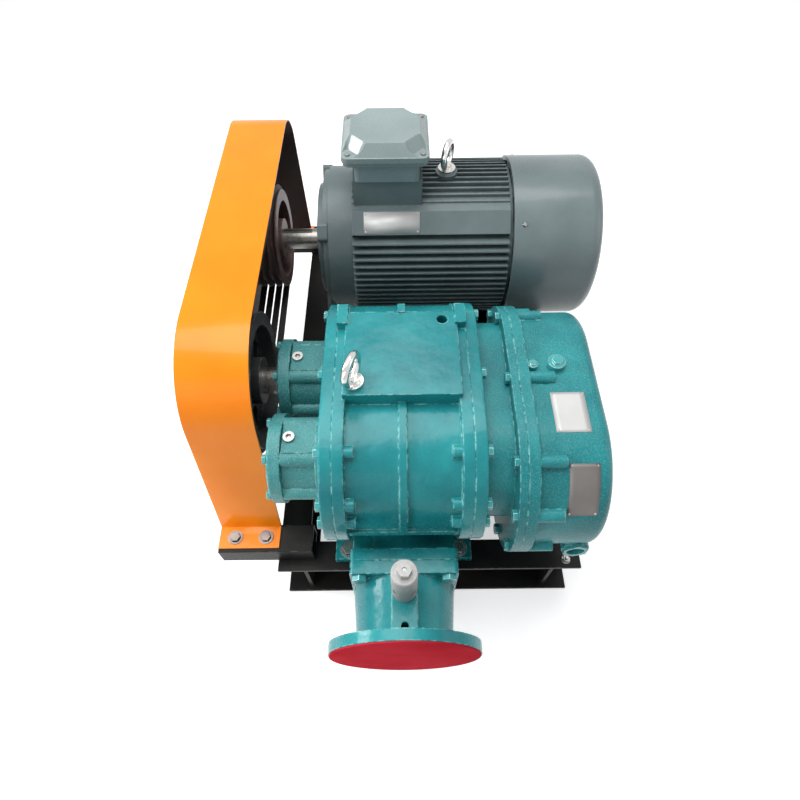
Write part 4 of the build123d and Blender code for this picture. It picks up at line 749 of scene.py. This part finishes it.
# Washers: a plain stamped washer under each hexagon head, of dark steel on the
# guard's feet and zinc-plated on the pump's.
GUARD_BOLT_X = (-0.415, -0.350)
GUARD_BOLT_Y = (-0.4745, 0.5025)
GUARD_WASHER_Z = FOOT_TOP + 0.0004
GUARD_WASHER = {"Radius": 0.0155, "Hole": 0.0108, "Thickness": 0.0018, "Material": dark_steel}
PUMP_BOLT_X = (-0.174, 0.062)
PUMP_BOLT_Y = (-0.490, -0.118)
PUMP_FOOT_TOP = 0.178
PUMP_WASHER_Z = PUMP_FOOT_TOP + 0.0009
PUMP_WASHER = {"Radius": 0.0195, "Hole": 0.0144, "Thickness": 0.0025, "Material": zinc}
UP = Vector((0, 0, 1))


def point_cloud(name, places):
    """A mesh of loose points, each with the way out that its fastener faces."""
    mesh = bpy.data.meshes.new(name)
    mesh.from_pydata([place for place, out in places], [], [])
    facing = mesh.attributes.new("facing", "FLOAT_VECTOR", "POINT")
    for item, (place, out) in zip(facing.data, places):
        item.vector = out
    return mesh


def stood_on(tree, start, shape):
    """Instances of a shape on the tree's points, each turned to its facing."""
    facing = add_node(tree, "GeometryNodeInputNamedAttribute", {"Name": "facing"}, data_type="FLOAT_VECTOR")
    turn = add_node(tree, "FunctionNodeAlignRotationToVector", {"Vector": facing.outputs[0]}, axis="Z")
    inputs = {"Points": start.outputs["Geometry"], "Instance": shape, "Rotation": turn.outputs[0]}
    return add_node(tree, "GeometryNodeInstanceOnPoints", inputs).outputs[0]


washer_tree, start, end = new_tree("washers", (("Radius", "Float", 0.0155), ("Hole", "Float", 0.0108),
                                               ("Thickness", "Float", 0.0018),
                                               ("Material", "Material", None)))
across_hole = calc(washer_tree, "ADD", start.outputs["Radius"], start.outputs["Hole"])
middle = calc(washer_tree, "MULTIPLY", across_hole, 0.5)
ring = add_node(washer_tree, "GeometryNodeCurvePrimitiveCircle", {"Resolution": 32, "Radius": middle})
strip = calc(washer_tree, "SUBTRACT", start.outputs["Radius"], start.outputs["Hole"])
section = add_node(washer_tree, "GeometryNodeCurvePrimitiveQuadrilateral",
                   {"Width": strip, "Height": start.outputs["Thickness"]})
washer = add_node(washer_tree, "GeometryNodeCurveToMesh", {"Curve": ring.outputs[0],
                                                           "Profile Curve": section.outputs[0]})
finish_tree(washer_tree, start, end, stood_on(washer_tree, start, washer.outputs[0]))
guard_washers = [(Vector((x, y, GUARD_WASHER_Z)), UP) for x in GUARD_BOLT_X for y in GUARD_BOLT_Y]
pump_washers = [(Vector((x, y, PUMP_WASHER_Z)), UP) for x in PUMP_BOLT_X for y in PUMP_BOLT_Y]
grown("guard_foot_washers", point_cloud("guard_washer_points", guard_washers), washer_tree, GUARD_WASHER)
grown("pump_foot_washers", point_cloud("pump_washer_points", pump_washers), washer_tree, PUMP_WASHER)

# Motor: a ribbed iron frame between two shields, with a pressed steel cowl
# over its fan, all in dark grey-green enamel. The fan is black plastic.
GREY_GREEN = (0.100, 0.132, 0.136, 1)
LIGHT_GREY_GREEN = (0.135, 0.175, 0.180, 1)
SHEET_GREEN = (0.120, 0.158, 0.164, 1)
LIGHT_SHEET_GREEN = (0.155, 0.200, 0.206, 1)
RUBBED_GREY = (0.22, 0.27, 0.28, 1)
FAN_BLACK = (0.012, 0.012, 0.013, 1)
LIGHT_FAN_BLACK = (0.02, 0.02, 0.021, 1)
RUBBED_FAN = (0.04, 0.04, 0.04, 1)
motor_enamel = painted("grey_green_enamel", GREY_GREEN, LIGHT_GREY_GREEN, RUBBED_GREY, lumps=(45, 0.0007),
                       grain=(350, 0.0003), wear_and_glint=0.5, edge=0.0025, roughness=0.36, shine=0.35)
finish_cad(motor_enamel, "motor_frame", "motor_drive_shield", "motor_fan_shield")
sheet_enamel = painted("grey_green_sheet_enamel", SHEET_GREEN, LIGHT_SHEET_GREEN, RUBBED_GREY,
                       lumps=(12, 0.0010), grain=(600, 0.00004), wear_and_glint=0.42, edge=0.0015, roughness=0.30,
                       shine=0.4, coat=(0.25, 0.15))
finish_cad(sheet_enamel, "motor_fan_cowl")
fan_plastic = painted("black_fan_plastic", FAN_BLACK, LIGHT_FAN_BLACK, RUBBED_FAN, lumps=(90, 0.0001),
                      grain=(700, 0.0001), wear_and_glint=0.3, roughness=0.5)
finish_cad(fan_plastic, "motor_fan")

# Motor's rating plate: bare aluminium on the flat of the frame's front
# shoulder, held by a drive rivet at each corner.
PANEL_LOW = Vector((0, 0.073, 0.561))
PANEL_UP = Vector((0, 0.037, 0.034)).normalized()
PANEL_OUT = Vector((0, -0.034, 0.037)).normalized()


def panel_point(x, run):
    """A point on the shoulder, a run up from its lower edge, and the way out there."""
    return PANEL_LOW + PANEL_UP * run + Vector((x, 0, 0)), PANEL_OUT


thin_plate("motor_rating_plate", panel_point, (-0.134, -0.013), (0.003, 0.0485), plate_metal, columns=2,
           rows=2)

# Relief spring: round wire wound with a closed turn at each end, held between the poppet and the cap.
SPRING_WIRE = 0.002
SPRING_TURNS = 7
TURN_POINTS = 24
spring_low, spring_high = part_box("relief_spring")
spring_middle = (spring_low + spring_high) / 2
spring_height = spring_high.z - spring_low.z
coil_radius = (spring_high.x - spring_low.x - SPRING_WIRE) / 2
open_turns = SPRING_TURNS - 2
open_pitch = (spring_height - 3 * SPRING_WIRE) / open_turns
coil = []
for step in range(SPRING_TURNS * TURN_POINTS + 1):
    turn = step / TURN_POINTS
    opened = min(max(turn - 1, 0), open_turns)
    rise = SPRING_WIRE * (turn - opened + 0.5) + open_pitch * opened
    coil.append((spring_middle.x + coil_radius * cos(2 * pi * turn),
                 spring_middle.y + coil_radius * sin(2 * pi * turn), spring_low.z + rise))
coil_mesh = bpy.data.meshes.new("spring_line")
coil_mesh.from_pydata(coil, [(i, i + 1) for i in range(len(coil) - 1)], [])
wire_tree, start, end = new_tree("wound_wire", (("Wire", "Float", 0.002), ("Material", "Material", None)))
line = add_node(wire_tree, "GeometryNodeMeshToCurve", {0: start.outputs["Geometry"]})
half_wire = calc(wire_tree, "MULTIPLY", start.outputs["Wire"], 0.5)
section = add_node(wire_tree, "GeometryNodeCurvePrimitiveCircle", {"Resolution": 12, "Radius": half_wire})
wire = add_node(wire_tree, "GeometryNodeCurveToMesh", {"Curve": line.outputs[0], "Fill Caps": True,
                                                       "Profile Curve": section.outputs[0]})
finish_tree(wire_tree, start, end, wire.outputs[0])
spring = grown("wound_relief_spring", coil_mesh, wire_tree, {"Wire": SPRING_WIRE, "Material": spring_metal},
               smooth=50)
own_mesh(spring)
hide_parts("relief_spring")

# Small heads: drive rivets in the plates, and the screws that hold the fan
# cowl to its shield, all zinc-plated and a little narrower on top.
COWL_SCREW_X = 0.214
COWL_RADIUS = 0.185
COWL_SCREW_TURNS = (42, 138, -42, -138)
MOTOR_AXIS = (0.207, 0.440)
HEAD_TAPER = 0.62
RIVET_HEAD = {"Radius": RIVET_RADIUS, "Height": 0.0009, "Material": zinc}
SCREW_HEAD = {"Radius": 0.006, "Height": 0.0032, "Material": zinc}
head_tree, start, end = new_tree("small_heads", (("Radius", "Float", 0.002), ("Height", "Float", 0.001),
                                                 ("Material", "Material", None)))
top_radius = calc(head_tree, "MULTIPLY", start.outputs["Radius"], HEAD_TAPER)
rim = add_node(head_tree, "GeometryNodeMeshCone",
               {"Vertices": 20, "Radius Bottom": start.outputs["Radius"], "Radius Top": top_radius,
                "Depth": start.outputs["Height"]})
finish_tree(head_tree, start, end, stood_on(head_tree, start, rim.outputs[0]))
grown("plate_rivets", point_cloud("rivet_points", rivet_points), head_tree, RIVET_HEAD)
cowl_screws = []
for turn in COWL_SCREW_TURNS:
    out = Vector((0, -sin(radians(turn)), cos(radians(turn))))
    cowl_screws.append((Vector((COWL_SCREW_X, *MOTOR_AXIS)) + out * COWL_RADIUS, out))
grown("cowl_screws", point_cloud("cowl_screw_points", cowl_screws), head_tree, SCREW_HEAD)

# Terminal box: cast box and bevelled lid, smoother than the frame and a shade
# lighter, with a screw in each corner.
LID_GREEN = (0.210, 0.270, 0.268, 1)
LIGHT_LID_GREEN = (0.250, 0.315, 0.312, 1)
RUBBED_LID = (0.46, 0.52, 0.51, 1)
BOX_GREEN = (0.180, 0.240, 0.255, 1)
LIGHT_BOX_GREEN = (0.215, 0.280, 0.295, 1)
lid_enamel = painted("terminal_box_enamel", LID_GREEN, LIGHT_LID_GREEN, RUBBED_LID, lumps=(30, 0.0005),
                     grain=(500, 0.0001), wear_and_glint=0.46, edge=0.0022, roughness=0.3, coat=(0.3, 0.12))
finish_cad(lid_enamel, "terminal_box_lid")
box_enamel = painted("terminal_box_side_enamel", BOX_GREEN, LIGHT_BOX_GREEN, RUBBED_GREY,
                     lumps=(30, 0.0005), grain=(500, 0.0001), wear_and_glint=0.46, edge=0.0022, roughness=0.3,
                     shine=0.4)
finish_cad(box_enamel, "terminal_box")
